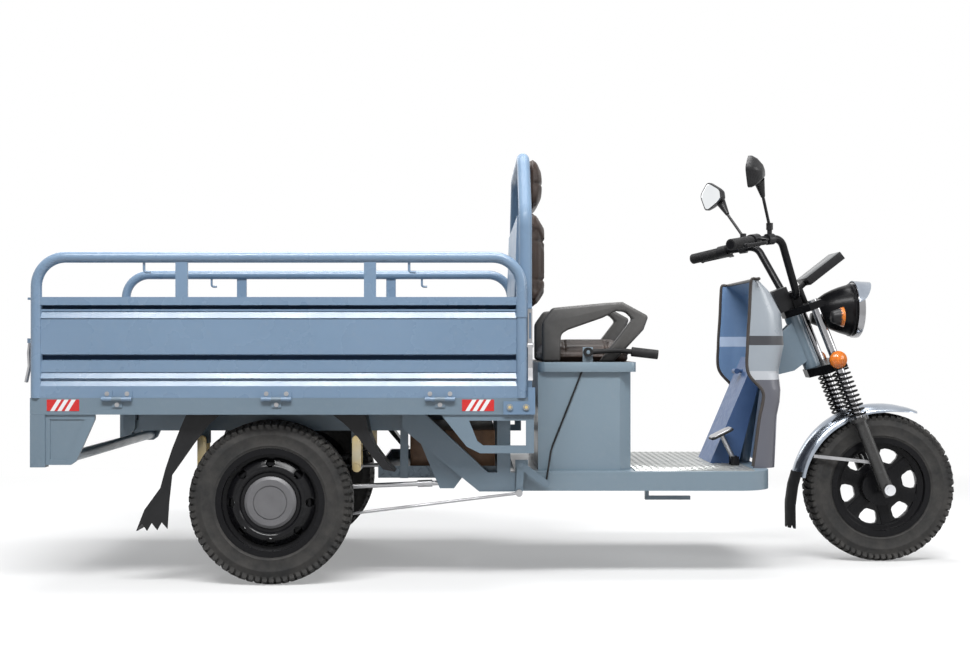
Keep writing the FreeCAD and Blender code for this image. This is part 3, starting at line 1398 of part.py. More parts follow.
# Guards hung below the bed: rear corners with a bumper bar, and front loops
def corner_guard(sign):
    post = sorted((sign * corner_post_inner, sign * bed_half))
    plate = sorted((sign * guard_plate_inner, sign * guard_plate_outer))
    press = sorted((sign * (guard_plate_outer - press_depth), sign * (guard_plate_outer + overrun)))
    body = fuse(block(bed_rear_x, corner_post_front_x, *post, corner_post_low_z, bed_low_z - seat_gap),
                side_plate(corner_plate_points, *plate))
    return body.cut(side_plate(corner_press_points, *press))


bumper = rod(V(bumper_x, -guard_plate_inner, bumper_z), V(bumper_x, guard_plate_inner, bumper_z),
             bumper_radius)
rear = fuse(corner_guard(-1), corner_guard(1), bumper)


def front_loop(sign):
    plate = sorted((sign * guard_plate_inner, sign * guard_plate_outer))
    through = sorted((sign * (guard_plate_inner - overrun), sign * (guard_plate_outer + overrun)))
    return side_plate(loop_points, *plate).cut(side_plate(loop_window_points, *through))


save("bed_guards", rear, front_loop(-1), front_loop(1))


# Side gates: pressed sheet, tube hoop, uprights, sleeve, hooks, keeper and hinge leaves
def side_gate():
    outer = [(depth - bed_half, z) for z, depth in gate_sheet]
    inner = [(y + gate_skin, z) for y, z in reversed(outer)]
    pieces = [front_plate(outer + inner, gate_rear_x, gate_front_x)]
    for z0, z1 in ((gate_sheet[0][0], gate_sheet[0][0] + gate_skin), (gate_sheet[-1][0] - gate_skin,
                                                                      gate_sheet[-1][0])):
        pieces.append(block(gate_rear_x, gate_front_x, -bed_half, gate_depth - bed_half, z0, z1))
    low = gate_sheet[0][0]
    hoop_run = [V(gate_rear_x, -gate_tube_y, low), V(gate_rear_x, -gate_tube_y, gate_rail_z),
                V(gate_front_x, -gate_tube_y, gate_rail_z), V(gate_front_x, -gate_tube_y, low)]
    pieces.append(bent_tube(hoop_run, gate_bend, gate_tube_radius, gate_tube_wall))
    for x in gate_post_xs:
        pieces.append(block(x - gate_post_half, x + gate_post_half, -bed_half, gate_post_skin - bed_half,
                            gate_post_low_z, gate_rail_z - gate_tube_radius + gate_tube_wall))
    pieces.append(rod(V(gate_front_x, -gate_tube_y, sleeve_low_z), V(gate_front_x, -gate_tube_y,
                                                                     sleeve_top_z),
                      sleeve_radius))
    for x in rope_hook_xs:
        pieces.append(bent_bar([V(x, -gate_tube_y, gate_rail_z - gate_tube_radius + gate_tube_wall),
                                V(x, -gate_tube_y, rope_hook_low_z), V(x + rope_hook_reach, -gate_tube_y,
                                                                       rope_hook_low_z)],
                               rope_hook_bend, rope_hook_radius))
    pieces.append(block(gate_front_x, keeper_front_x, -keeper_outer_y, -keeper_inner_y, keeper_low_z,
                        keeper_top_z))
    for u in side_hinge_xs:
        for leaf_half in hinge_leaves(u):
            pieces.append(to_right(leaf_half))
    return fuse(*pieces)


right_gate = side_gate()
save("side_gate_right", right_gate)
save("side_gate_left", mirrored(right_gate))

# Tailgate: the same pressed sheet with end flanges, hinge leaves and the rear latch fittings
outer = [(bed_rear_x + depth, z) for z, depth in gate_sheet]
inner = [(x + gate_skin, z) for x, z in reversed(outer)]
tail = [side_plate(outer + inner, -tail_half, tail_half)]
for z0, z1 in ((gate_sheet[0][0], gate_sheet[0][0] + gate_skin), (gate_sheet[-1][0] - gate_skin,
                                                                  gate_sheet[-1][0])):
    tail.append(block(bed_rear_x, bed_rear_x + gate_depth, -tail_half, tail_half, z0, z1))
for sign in (-1, 1):
    y0, y1 = sorted((sign * tail_half, sign * (tail_half - gate_skin)))
    tail.append(block(bed_rear_x, bed_rear_x + gate_depth, y0, y1, gate_sheet[0][0], gate_sheet[-1][0]))
    y0, y1 = sorted((sign * tail_latch_inner_y, sign * tail_latch_outer_y))
    for ear in (y0 - latch_ear_gap - latch_ear_skin, y1 + latch_ear_gap):
        tail.append(block(tail_latch_x - latch_ear_half, tail_latch_root_x + gate_depth / 2, ear,
                          ear + latch_ear_skin,
                          tail_latch_z - latch_ear_half, tail_latch_z + latch_ear_half))
    tail.append(disc(tail_latch_x, y0 - latch_ear_gap - latch_ear_skin, y1 + latch_ear_gap + latch_ear_skin,
                     tail_latch_z, latch_pin_radius))
    slot = block(tail_yoke_rear_x - overrun, tail_yoke_front_x + overrun, y0 + latch_slot_edge,
                 y1 - latch_slot_edge,
                 tail_latch_z + latch_slot_edge * 3, tail_yoke_top_z - latch_slot_edge * 3)
    yoke = block(tail_yoke_rear_x, tail_yoke_front_x, y0, y1, tail_latch_z + latch_hub_radius + seat_gap,
                 tail_yoke_top_z)
    tail.append(yoke.cut(slot))
    tail.append(block(tail_yoke_rear_x, tail_latch_root_x, y0, y1, tail_keeper_low_z,
                      tail_keeper_top_z - latch_ear_half))
    tail.append(block(tail_keeper_reach_x, tail_latch_root_x, y0, y1, tail_keeper_top_z - latch_ear_half * 2,
                      tail_keeper_top_z - latch_ear_half))
for u in tail_hinge_ys:
    for leaf_half in hinge_leaves(u):
        tail.append(to_rear(leaf_half))
save("tailgate", fuse(*tail))

# Front latch fittings on the hoop posts
post = rod(V(hoop_x, -hoop_y, hoop_low), V(hoop_x, -hoop_y, hoop_shoulder_z), hoop_radius + seat_gap)
fit = []
for ear in (latch_rear_x - latch_ear_gap - latch_ear_skin, latch_front_x + latch_ear_gap):
    fit.append(block(ear, ear + latch_ear_skin, -latch_y - latch_ear_half, -latch_root_y + latch_ear_half,
                     latch_z - latch_ear_half, latch_z + latch_ear_half))
fit.append(block(latch_rear_x - latch_ear_gap - latch_ear_skin,
                 latch_front_x + latch_ear_gap + latch_ear_skin,
                 -latch_yoke_outer_y, -latch_root_y + latch_ear_half, latch_z - latch_ear_half,
                 latch_z + latch_ear_half))
fit.append(rod(V(latch_rear_x - latch_ear_gap, -latch_y, latch_z), V(latch_front_x + latch_ear_gap,
                                                                     -latch_y, latch_z),
               latch_pin_radius))
yoke = block(latch_rear_x, latch_front_x, -latch_yoke_outer_y, -latch_yoke_inner_y, latch_z, latch_yoke_top_z)
slot = block(latch_rear_x + latch_slot_edge, latch_front_x - latch_slot_edge, -latch_yoke_outer_y - overrun,
             overrun - latch_yoke_inner_y, latch_slot_low_z, latch_slot_top_z)
fit.append(yoke.cut(slot))
right_fit = fuse(*fit).cut(post)
save("latch_fittings", right_fit, mirrored(right_fit))

# Latch levers
hub = rod(V(latch_rear_x, -latch_y, latch_z), V(latch_front_x, -latch_y, latch_z), latch_hub_radius)
plate = front_plate([(-y, z) for y, z in latch_handle], latch_rear_x, latch_front_x)
hole = rod(V(latch_rear_x - overrun, -latch_y, latch_z), V(latch_front_x + overrun, -latch_y, latch_z),
           latch_pin_radius + running_gap)
front_lever = fuse(hub, plate).cut(hole)
save("latch_lever_front_right", front_lever)
save("latch_lever_front_left", mirrored(front_lever))
hub = disc(tail_latch_x, -tail_latch_outer_y, -tail_latch_inner_y, tail_latch_z, latch_hub_radius)
plate = side_plate(tail_handle, -tail_latch_outer_y, -tail_latch_inner_y)
hole = disc(tail_latch_x, -tail_latch_outer_y - overrun, overrun - tail_latch_inner_y, tail_latch_z,
            latch_pin_radius + running_gap)
rear_lever = fuse(hub, plate).cut(hole)
save("latch_lever_rear_right", rear_lever)
save("latch_lever_rear_left", mirrored(rear_lever))

# Steering head: both yokes on one stem, bored for the fork tubes
def yoke(middle, half):
    return plan_plate(yoke_plan, middle - half, middle + half)


stem = rod(V(-stem_back, 0, yoke_low - yoke_low_half), V(-stem_back, 0, yoke_high + yoke_high_half),
           stem_radius)
steering = fuse(yoke(yoke_low, yoke_low_half), yoke(yoke_high, yoke_high_half), stem)
for sign in (-1, 1):
    steering = steering.cut(rod(V(0, sign * fork_y, yoke_low - yoke_low_half - overrun),
                                V(0, sign * fork_y, yoke_high + yoke_high_half + overrun),
                                fork_tube_radius + running_gap))
save("steering_head", raked(steering))
tubes = [raked(rod(V(0, sign * fork_y, fork_tube_low), V(0, sign * fork_y, fork_tube_high), fork_tube_radius))
         for sign in (-1, 1)]
save("fork_tubes", *tubes)


# Fork springs: one unbroken wire each, its helix drawn as two arcs to every quarter turn
def corner_arc(first, corner, last):
    back = (first - corner).normalize()
    ahead = (last - corner).normalize()
    half = back.getAngle(ahead) / 2
    radius = (first - corner).Length * math.tan(half)
    middle = corner + (back + ahead).normalize() * (radius / math.sin(half) - radius)
    return Part.Arc(first, middle, last).toShape()


def helix_wire(y, low, high, radius, turns):
    steps = turns * 4
    rise = (high - low) / steps
    lead = rise * 4 / (2 * math.pi)

    def point(i):
        angle = math.pi / 2 * i
        return V(radius * math.cos(angle), y + radius * math.sin(angle), low + rise * i)

    def heading(i):
        angle = math.pi / 2 * i
        return V(-radius * math.sin(angle), radius * math.cos(angle), lead).normalize()

    edges = []
    for i in range(steps):
        p0, p1, t0, t1 = point(i), point(i + 1), heading(i), heading(i + 1)
        chord = p1 - p0
        lean = chord.dot(t0 + t1)
        spread = 1 - t0.dot(t1)
        reach = (math.sqrt(lean ** 2 + 2 * spread * chord.dot(chord)) - lean) / (2 * spread)
        c0 = p0 + t0 * reach
        c1 = p1 - t1 * reach
        joint = (c0 + c1) / 2
        edges.append(corner_arc(p0, c0, joint))
        edges.append(corner_arc(joint, c1, p1))
    return Part.Wire(edges)


coil_low = collar_high + spring_wire_radius + seat_gap
coil_high = yoke_low - yoke_low_half - spring_wire_radius - seat_gap
coils = []
for sign in (-1, 1):
    path = helix_wire(sign * fork_y, coil_low, coil_high, spring_coil_radius, spring_turns)
    first = path.Edges[0]
    ring = Part.Wire(Part.makeCircle(spring_wire_radius, first.valueAt(first.FirstParameter),
                                     first.tangentAt(first.FirstParameter)))
    coils.append(path.makePipeShell([ring], True, False))
    marks = [p for edge in path.Edges for p in edge.discretize(6)]
    least = min((a - b).Length for i, a in enumerate(marks) for b in marks[i + 24:])
    print("fork spring: least gap to itself", round(least - spring_wire_radius * 2, 2), "turns", spring_turns)
save("fork_springs", *[raked(coil) for coil in coils])

# Fork legs: bored sliders with spring collars, joined by the front axle with its nuts and sleeves
legs = []
nut_face = fork_y + leg_radius
for sign in (-1, 1):
    y = sign * fork_y
    leg = fuse(rod(V(0, y, leg_low), V(0, y, leg_high), leg_radius),
               rod(V(0, y, collar_low), V(0, y, collar_high), collar_radius))
    legs.append(leg.cut(rod(V(0, y, leg_bore_low), V(0, y, collar_high + overrun),
                            fork_tube_radius + running_gap)))
    y0, y1 = sorted((sign * (nut_face - axle_nut_skin / 2), sign * (nut_face + axle_nut_skin)))
    legs.append(block(-axle_nut_half, axle_nut_half, y0, y1, -axle_nut_half, axle_nut_half))
    legs.append(rod(V(0, sign * (front_hub_half + seat_gap), 0), V(0, sign * (fork_y - leg_radius / 2), 0),
                    axle_sleeve_radius))
legs.append(rod(V(0, -fork_y, 0), V(0, fork_y, 0), axle_radius))
save("fork_legs", raked(fuse(*legs)))

# Front wheel: spoked rim and tyre
x = front_axle_x
z = axle_z
wheel = [turned(rim_barrel(), x, 0, z, 1), disc(x, -front_hub_half, front_hub_half, z, front_hub_radius)]
tip = rim_well_radius - rim_skin / 2
for i in range(front_spoke_count):
    spoke = plan_plate([(front_spoke_start, -front_spoke_root), (tip, -front_spoke_tip), (tip,
                                                                                          front_spoke_tip),
                        (front_spoke_start, front_spoke_root)], -front_spoke_half, front_spoke_half)
    spoke.rotate(V(0, 0, 0), V(1, 0, 0), 90)
    spoke.rotate(V(0, 0, 0), V(0, 1, 0), -front_spoke_deg - i * 360 / front_spoke_count)
    spoke.translate(V(x, 0, z))
    wheel.append(spoke)
bore = disc(x, -front_hub_half - overrun, front_hub_half + overrun, z, axle_radius + running_gap)
save("front_rim", fuse(*wheel).cut(bore))
save("front_tyre", tyre(x, 0, z, front_tyre_half, tyre_radius))


# Front fender: a sheet over the wheel with a raised tip, side skirts, stays to the legs and a rubber flap
def polar(radius, deg, y):
    angle = math.radians(deg)
    return V(front_axle_x + radius * math.cos(angle), y, axle_z + radius * math.sin(angle))


def sector(r_in, r_out, start, end, y):
    middle = (start + end) / 2
    low = [polar(r_in, deg, y) for deg in (start, middle, end)]
    top = [polar(r_out, deg, y) for deg in (start, middle, end)]
    return Part.Face(Part.Wire([Part.Arc(*low).toShape(), Part.makeLine(low[2], top[2]),
                                Part.Arc(*top[::-1]).toShape(), Part.makeLine(top[0], low[0])]))


outer_radius = fender_radius + fender_skin
sheet = sector(fender_radius, outer_radius, fender_rear_deg, fender_front_deg, -fender_half)
fender = [sheet.extrude(V(0, fender_half * 2, 0))]
tip_wire = Part.makePolygon([polar(fender_radius, fender_front_deg, -fender_half),
                             polar(fender_tip_radius, fender_tip_deg, -fender_half),
                             polar(fender_tip_radius + fender_skin, fender_tip_deg, -fender_half),
                             polar(outer_radius, fender_front_deg, -fender_half),
                             polar(fender_radius, fender_front_deg, -fender_half)])
fender.append(Part.Face(tip_wire).extrude(V(0, fender_half * 2, 0)))
for sign in (-1, 1):
    inner_y = sign * (fender_half - fender_skin)
    skirt = sector(skirt_radius, outer_radius, skirt_rear_deg, skirt_front_deg, inner_y)
    fender.append(skirt.extrude(V(0, sign * fender_skin, 0)))
    start = polar((skirt_radius + fender_radius) / 2, stay_deg, inner_y)
    leg_point = V(-stay_leg_height * math.sin(math.radians(rake_deg)) + front_axle_x,
                  sign * (fork_y - leg_radius),
                  axle_z + stay_leg_height * math.cos(math.radians(rake_deg)))
    stay = rod(start, leg_point, stay_radius)
    fender.append(stay.cut(raked(rod(V(0, sign * fork_y, leg_low), V(0, sign * fork_y, leg_high),
                                     leg_radius + seat_gap))))
flap_run = [(flap_top_x, flap_top_z), (flap_top_x - flap_skin, flap_top_z), (flap_low_x - flap_skin,
                                                                             flap_low_z),
            (flap_low_x, flap_low_z)]
rubber = side_plate(flap_run, -flap_half, flap_half)
rubber = rubber.cut(disc(front_axle_x, -fender_half - overrun, fender_half + overrun, axle_z,
                         outer_radius + seat_gap))
save("front_fender", fuse(*fender), rubber)

# Handlebar: one bent tube with its clamps on the upper yoke
right_run = [V(x, -y, z) for x, y, z in bar_points]
left_run = [V(x, y, z) for x, y, z in reversed(bar_points)]
handlebar = [bent_bar(right_run + left_run, bar_bend, bar_radius)]
clamp_low = yoke_high + yoke_high_half + seat_gap
for sign in (-1, 1):
    y0, y1 = sorted((sign * clamp_inner_y, sign * clamp_outer_y))
    handlebar.append(raked(block(clamp_back, clamp_front, y0, y1, clamp_low, clamp_top)))
save("handlebar", fuse(*handlebar))


# Controls on one end of the bar, drawn along the grip
def grip_frame(sign):
    end, inner = [V(x, sign * y, z) for x, y, z in bar_points[:2]]
    along = (end - inner).normalize()
    ahead = (V(1, 0, 0) - along * along.x).normalize()
    return inner, along, ahead, along.cross(ahead)


def sleeve(sign, start, length, radius, gap):
    inner, along, ahead, up = grip_frame(sign)
    body = rod(inner + along * start, inner + along * (start + length), radius)
    hollow = rod(inner + along * (start - overrun), inner + along * (start + length + overrun),
                 bar_radius + gap)
    return body.cut(hollow)


def oriented(sign, a0, a1, b0, b1, c0, c1):
    inner, along, ahead, up = grip_frame(sign)
    corners = [inner + along * a + ahead * b + up * c0 for a, b in ((a0, b0), (a1, b0), (a1, b1), (a0, b1),
                                                                    (a0, b0))]
    return Part.Face(Part.makePolygon(corners)).extrude(up * (c1 - c0))


def brake_lever(sign):
    inner, along, ahead, up = grip_frame(sign)
    hub = inner + along * (pod_start + pod_length / 2) + ahead * lever_hub_out
    blade = [hub] + [inner + along * a + ahead * b for a, b in brake_blade_run]
    body = fuse(rod(hub - up * brake_hub_half, hub + up * brake_hub_half, brake_hub_radius),
                bent_bar(blade, brake_blade_bend, brake_blade_radius),
                Part.makeSphere(brake_ball_radius, blade[-1]))
    return body.cut(rod(hub - up * overrun * 2, hub + up * overrun * 2, brake_pin_radius + running_gap))


def control_pod(sign):
    inner, along, ahead, up = grip_frame(sign)
    middle = pod_start + pod_length / 2
    hub = inner + along * middle + ahead * lever_hub_out
    pieces = [rod(inner + along * pod_start, inner + along * (pod_start + pod_length), pod_radius)]
    ear = brake_hub_half + seat_gap
    pieces.append(oriented(sign, middle - brake_ear_half, middle + brake_ear_half, bar_radius,
                           lever_hub_out + brake_ear_half, ear, ear + brake_ear_skin))
    pieces.append(rod(hub - up * brake_hub_half, hub + up * (ear + brake_ear_skin), brake_pin_radius))
    body = fuse(*pieces)
    hollow = rod(inner, inner + along * (pod_start + pod_length + overrun), bar_radius + running_gap)
    return body.cut(hollow)


def mirror_base(sign):
    inner = V(bar_points[1][0], sign * bar_points[1][1], bar_points[1][2])
    outer = V(bar_points[2][0], sign * bar_points[2][1], bar_points[2][2])
    along = (outer - inner).normalize()
    middle = inner + (outer - inner) * mirror_share
    return middle, along


def mirror_boss(sign):
    middle, along = mirror_base(sign)
    boss = rod(middle - along * mirror_boss_half, middle + along * mirror_boss_half, mirror_boss_radius)
    stud = rod(middle, middle + V(0, 0, mirror_stud_top), mirror_stud_radius)
    hollow = rod(middle - along * mirror_boss_half * 2, middle + along * mirror_boss_half * 2,
                 bar_radius + running_gap)
    return fuse(boss, stud).cut(hollow)


controls = []
for sign in (-1, 1):
    controls.append(control_pod(sign))
    controls.append(mirror_boss(sign))
controls.append(sleeve(1, grip_start, grip_length, grip_radius, running_gap))
save("hand_controls", *controls)
save("throttle_grip", sleeve(-1, grip_start, grip_length, grip_radius, running_gap))
save("brake_lever_right", brake_lever(-1))
save("brake_lever_left", brake_lever(1))


# Mirrors: a stem on a socket, and a tapered head
def mirror(sign):
    middle, along = mirror_base(sign)
    foot = middle + V(0, 0, mirror_stud_top + seat_gap)
    neck = V(mirror_neck[0], sign * mirror_neck[1], mirror_neck[2])
    centre = V(mirror_centre[0], sign * mirror_centre[1], mirror_centre[2])
    socket = rod(foot, foot + V(0, 0, mirror_socket_length), mirror_socket_radius)
    root = foot + V(0, 0, mirror_socket_length / 2)
    stem_bar = bent_bar([root, neck, centre], mirror_stem_bend, mirror_stem_radius)
    front = [V(mirror_depth, sign * y * mirror_back_share, z * mirror_back_share) for y, z in mirror_face]
    rear = [V(0, sign * y, z) for y, z in mirror_face]
    loops = [Part.makePolygon(points + points[:1]) for points in (rear, front)]
    shell = Part.makeLoft(loops, True, True)
    shell.rotate(V(0, 0, 0), V(0, 0, 1), sign * mirror_toe_deg)
    shell.translate(centre - V(mirror_depth / 2, 0, 0))
    return fuse(socket, stem_bar, shell)


save("mirror_right", mirror(-1))
save("mirror_left", mirror(1))


# Headlight: bowl on an arm, chrome ring, glass and visor
def spun_x(profile, z):
    wire = Part.makePolygon([V(x, 0, z + r) for x, r in profile + profile[:1]])
    return Part.Face(wire).revolve(V(0, 0, z), V(1, 0, 0), 360)


arm = raked(block(yoke_plan[3][0] + seat_gap, lamp_arm_front, -lamp_arm_half, lamp_arm_half,
                  lamp_arm_low, lamp_arm_high))
bowl = fuse(spun_x(lamp_bowl_profile, lamp_z), arm)
ring_back = lamp_x - lamp_ring_depth
ring_body = spun_x([(ring_back, 0), (ring_back, lamp_ring_radius), (lamp_x, lamp_ring_radius),
                    (lamp_x, lamp_glass_radius), (lamp_x - lamp_glass_bulge, lamp_glass_radius),
                    (lamp_x - lamp_glass_bulge, 0)], lamp_z)
glass_start = lamp_x - lamp_glass_bulge + seat_gap
glass_edge = lamp_glass_radius - seat_gap
glass = spun_x([(glass_start, 0), (glass_start, glass_edge)]
               + [(lamp_x + lamp_glass_bulge * out, glass_edge * up) for up, out in lamp_glass_shares],
               lamp_z)
visor = rod(V(visor_rear_x, 0, lamp_z), V(visor_front_x, 0, lamp_z), visor_radius)
visor = visor.cut(rod(V(visor_rear_x - overrun, 0, lamp_z), V(visor_front_x + overrun, 0, lamp_z),
                      lamp_ring_radius + seat_gap))
keep = block(visor_rear_x - overrun, visor_front_x + overrun, -visor_radius - overrun, visor_radius + overrun,
             visor_side_z, lamp_z + visor_radius + overrun)
save("headlight", bowl, ring_body, glass, visor.common(keep))

# Indicators on stems from the bowl, and round side reflectors on the lower yoke
clear_bowl = spun_x([(x, r + (seat_gap if r > 0 else 0)) for x, r in lamp_bowl_profile], lamp_z)
lights = []
for sign in (-1, 1):
    y = sign * indicator_y
    profile = [(indicator_x, 0), (indicator_x, indicator_back_radius), (indicator_front_x, indicator_radius),
               (indicator_front_x, 0)]
    body = spun_x(profile, indicator_z)
    body.translate(V(0, y, 0))
    middle = (indicator_x + indicator_front_x) / 2
    stem_rod = rod(V(middle, 0, indicator_z), V(middle, y, indicator_z), indicator_stem_radius)
    solids = stem_rod.cut(clear_bowl).Solids
    outer_stem = [s for s in solids if s.CenterOfMass.y * sign > indicator_stem_radius]
    lights.append(fuse(body, *outer_stem))
    side = sign * (yoke_plan[2][1] + seat_gap)
    lights.append(raked(rod(V(0, side, reflector_up), V(0, side + sign * reflector_skin, reflector_up),
                            reflector_radius)))
save("indicators", *lights)

# Display on its arm, and the dash box behind the clamp
pod = Part.makeBox(display_half_length * 2, display_half_width * 2, display_half_skin * 2,
                   V(-display_half_length, -display_half_width, -display_half_skin))
pod.rotate(V(0, 0, 0), V(0, 1, 0), -display_deg)
pod.translate(V(display_x, 0, display_z))
post = raked(rod(V(0, 0, clamp_low), V(0, 0, clamp_top), display_arm_radius))
foot = raked(Part.Vertex(V(0, 0, clamp_top))).Point
dash = raked(block(dash_back, dash_front, -dash_half, dash_half, clamp_low, dash_top))
save("dash", fuse(pod, post, rod(foot, V(display_x, 0, display_z), display_arm_radius)), dash)
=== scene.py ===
# %% [markdown]
# # Finishing an electric cargo tricycle
# The metalwork of this tricycle was drawn in millimetres and packed as sixty solid pieces.
# In this lesson we give every piece its real surface, and make again what a solid modeller
# leaves too plain: stitched cushions, tyre tread, lamp lenses, springs and rubber.

# %% Load the solid pieces
import bmesh
import bpy
import json
import math
import numpy as np
from mathutils import Matrix, Vector


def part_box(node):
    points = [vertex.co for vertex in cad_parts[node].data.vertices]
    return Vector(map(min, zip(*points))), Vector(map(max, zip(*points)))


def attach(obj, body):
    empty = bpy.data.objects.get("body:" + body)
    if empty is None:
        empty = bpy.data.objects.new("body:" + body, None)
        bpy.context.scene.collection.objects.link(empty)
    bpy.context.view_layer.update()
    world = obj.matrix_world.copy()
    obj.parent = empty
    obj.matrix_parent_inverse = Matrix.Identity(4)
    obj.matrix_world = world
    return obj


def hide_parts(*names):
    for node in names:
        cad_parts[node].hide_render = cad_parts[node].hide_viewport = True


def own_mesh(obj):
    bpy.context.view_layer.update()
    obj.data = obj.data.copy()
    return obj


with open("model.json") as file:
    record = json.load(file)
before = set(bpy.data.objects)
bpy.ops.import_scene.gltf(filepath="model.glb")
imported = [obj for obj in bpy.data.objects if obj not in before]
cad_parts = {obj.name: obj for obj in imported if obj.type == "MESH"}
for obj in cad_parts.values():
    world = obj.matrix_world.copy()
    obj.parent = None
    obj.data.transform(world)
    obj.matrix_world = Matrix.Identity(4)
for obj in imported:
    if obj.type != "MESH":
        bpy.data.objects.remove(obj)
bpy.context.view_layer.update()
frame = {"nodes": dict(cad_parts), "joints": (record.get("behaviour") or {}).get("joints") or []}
nodes = frame["nodes"]
joint_at = {joint["name"]: Vector(joint["pos_m"]) for joint in frame["joints"] if "pos_m" in joint}
joint_axis = {joint["name"]: Vector(joint["axis"]) for joint in frame["joints"]}

# %% [markdown]
# ## Surfaces
# A real surface is never one flat number. Paint drifts a little in tone over a panel, and it has a
# fine orange-peel relief from the spray gun. We build each finish from the same few moves: a noise
# read in the object's own coordinates, which then drives colour, roughness or relief.

# %% The moves that every finish shares
def new_finish(name):
    """A material with its node tree and its surface shader."""
    material = bpy.data.materials.new(name)
    material.use_nodes = True
    tree = material.node_tree
    return material, tree, tree.nodes["Principled BSDF"]


def pattern(tree, kind, scale, stretch=(1.0, 1.0, 1.0), output=0, **settings):
    """A texture laid in the object's own coordinates."""
    coords = tree.nodes.new("ShaderNodeTexCoord")
    mapping = tree.nodes.new("ShaderNodeMapping")
    tree.links.new(coords.outputs["Object"], mapping.inputs["Vector"])
    texture = tree.nodes.new("ShaderNodeTex" + kind)
    mapping.inputs["Scale"].default_value = [scale * s for s in stretch]
    if "Scale" in texture.inputs:
        texture.inputs["Scale"].default_value = 1.0
    for key, value in settings.items():
        if key in texture.inputs:
            texture.inputs[key].default_value = value
        else:
            setattr(texture, key, value)
    tree.links.new(mapping.outputs["Vector"], texture.inputs["Vector"])
    return texture.outputs[output]


def drive(tree, value, low, high, socket, start=0.3, end=0.7):
    """Lets a pattern move a number between low and high."""
    span = tree.nodes.new("ShaderNodeMapRange")
    span.inputs["From Min"].default_value = start
    span.inputs["From Max"].default_value = end
    span.inputs["To Min"].default_value = low
    span.inputs["To Max"].default_value = high
    tree.links.new(value, span.inputs["Value"])
    if socket is not None:
        tree.links.new(span.outputs["Result"], socket)
    return span.outputs["Result"]


def two_tones(tree, value, first, second, socket, start=0.3, end=0.7):
    """Lets a pattern mix two colours."""
    mix = tree.nodes.new("ShaderNodeMix")
    mix.data_type = "RGBA"
    mix.inputs["A"].default_value = (*first, 1.0) if not hasattr(first, "node") else (0, 0, 0, 1)
    mix.inputs["B"].default_value = (*second, 1.0)
    if hasattr(first, "node"):
        tree.links.new(first, mix.inputs["A"])
    drive(tree, value, 0.0, 1.0, mix.inputs["Factor"], start, end)
    if socket is not None:
        tree.links.new(mix.outputs["Result"], socket)
    return mix.outputs["Result"]


def relief(tree, value, strength, depth, shader):
    """Lets a pattern raise and lower the surface."""
    bump = tree.nodes.new("ShaderNodeBump")
    bump.inputs["Strength"].default_value = strength
    bump.inputs["Distance"].default_value = depth
    tree.links.new(value, bump.inputs["Height"])
    earlier = shader.inputs["Normal"].links
    if earlier:
        tree.links.new(earlier[0].from_socket, bump.inputs["Normal"])
    tree.links.new(bump.outputs["Normal"], shader.inputs["Normal"])


# %% [markdown]
# ### Paint, powder coat and metal
# The bed and the frame wear a steel-blue gloss coat. The fork and rims are black powder coat, which
# is duller and grainier. Bright parts are chrome or zinc, where only the roughness wanders.

# %% Painted and plated finishes
def paint(name, tone, shade, rough, grain=220.0, peel=0.04, shine=0.5):
    """Sprayed paint: a slow drift in tone, fine dust, a wandering gloss and an orange-peel relief."""
    material, tree, shader = new_finish(name)
    drift = pattern(tree, "Noise", 2.6, Detail=5.0)
    colour = two_tones(tree, drift, tone, shade, None)
    specks = pattern(tree, "Noise", 46.0, Detail=6.0, Roughness=0.7)
    dusty = tuple(0.80 * c + 0.10 * shine for c in tone)
    two_tones(tree, specks, colour, dusty, shader.inputs["Base Color"], 0.52, 0.95)
    wander = pattern(tree, "Noise", 9.0, Detail=4.0)
    drive(tree, wander, rough - 0.06, rough + 0.09, shader.inputs["Roughness"])
    relief(tree, pattern(tree, "Noise", grain, Detail=2.0), peel, 0.002, shader)
    shader.inputs["Specular IOR Level"].default_value = shine
    shader.inputs["Coat Weight"].default_value = 0.4 * shine
    shader.inputs["Coat Roughness"].default_value = 0.18
    return material


def plated(name, tone, shade, low, high, smear=(1.0, 1.0, 1.0)):
    """Bare or plated metal: a wiped, uneven polish."""
    material, tree, shader = new_finish(name)
    shader.inputs["Metallic"].default_value = 1.0
    cloud = pattern(tree, "Noise", 14.0, smear, Detail=6.0)
    two_tones(tree, cloud, tone, shade, shader.inputs["Base Color"])
    drive(tree, pattern(tree, "Noise", 34.0, smear, Detail=5.0), low, high, shader.inputs["Roughness"])
    relief(tree, pattern(tree, "Noise", 420.0, smear, Detail=2.0), 0.03, 0.001, shader)
    return material


whole_length = (-9.0, 9.0)


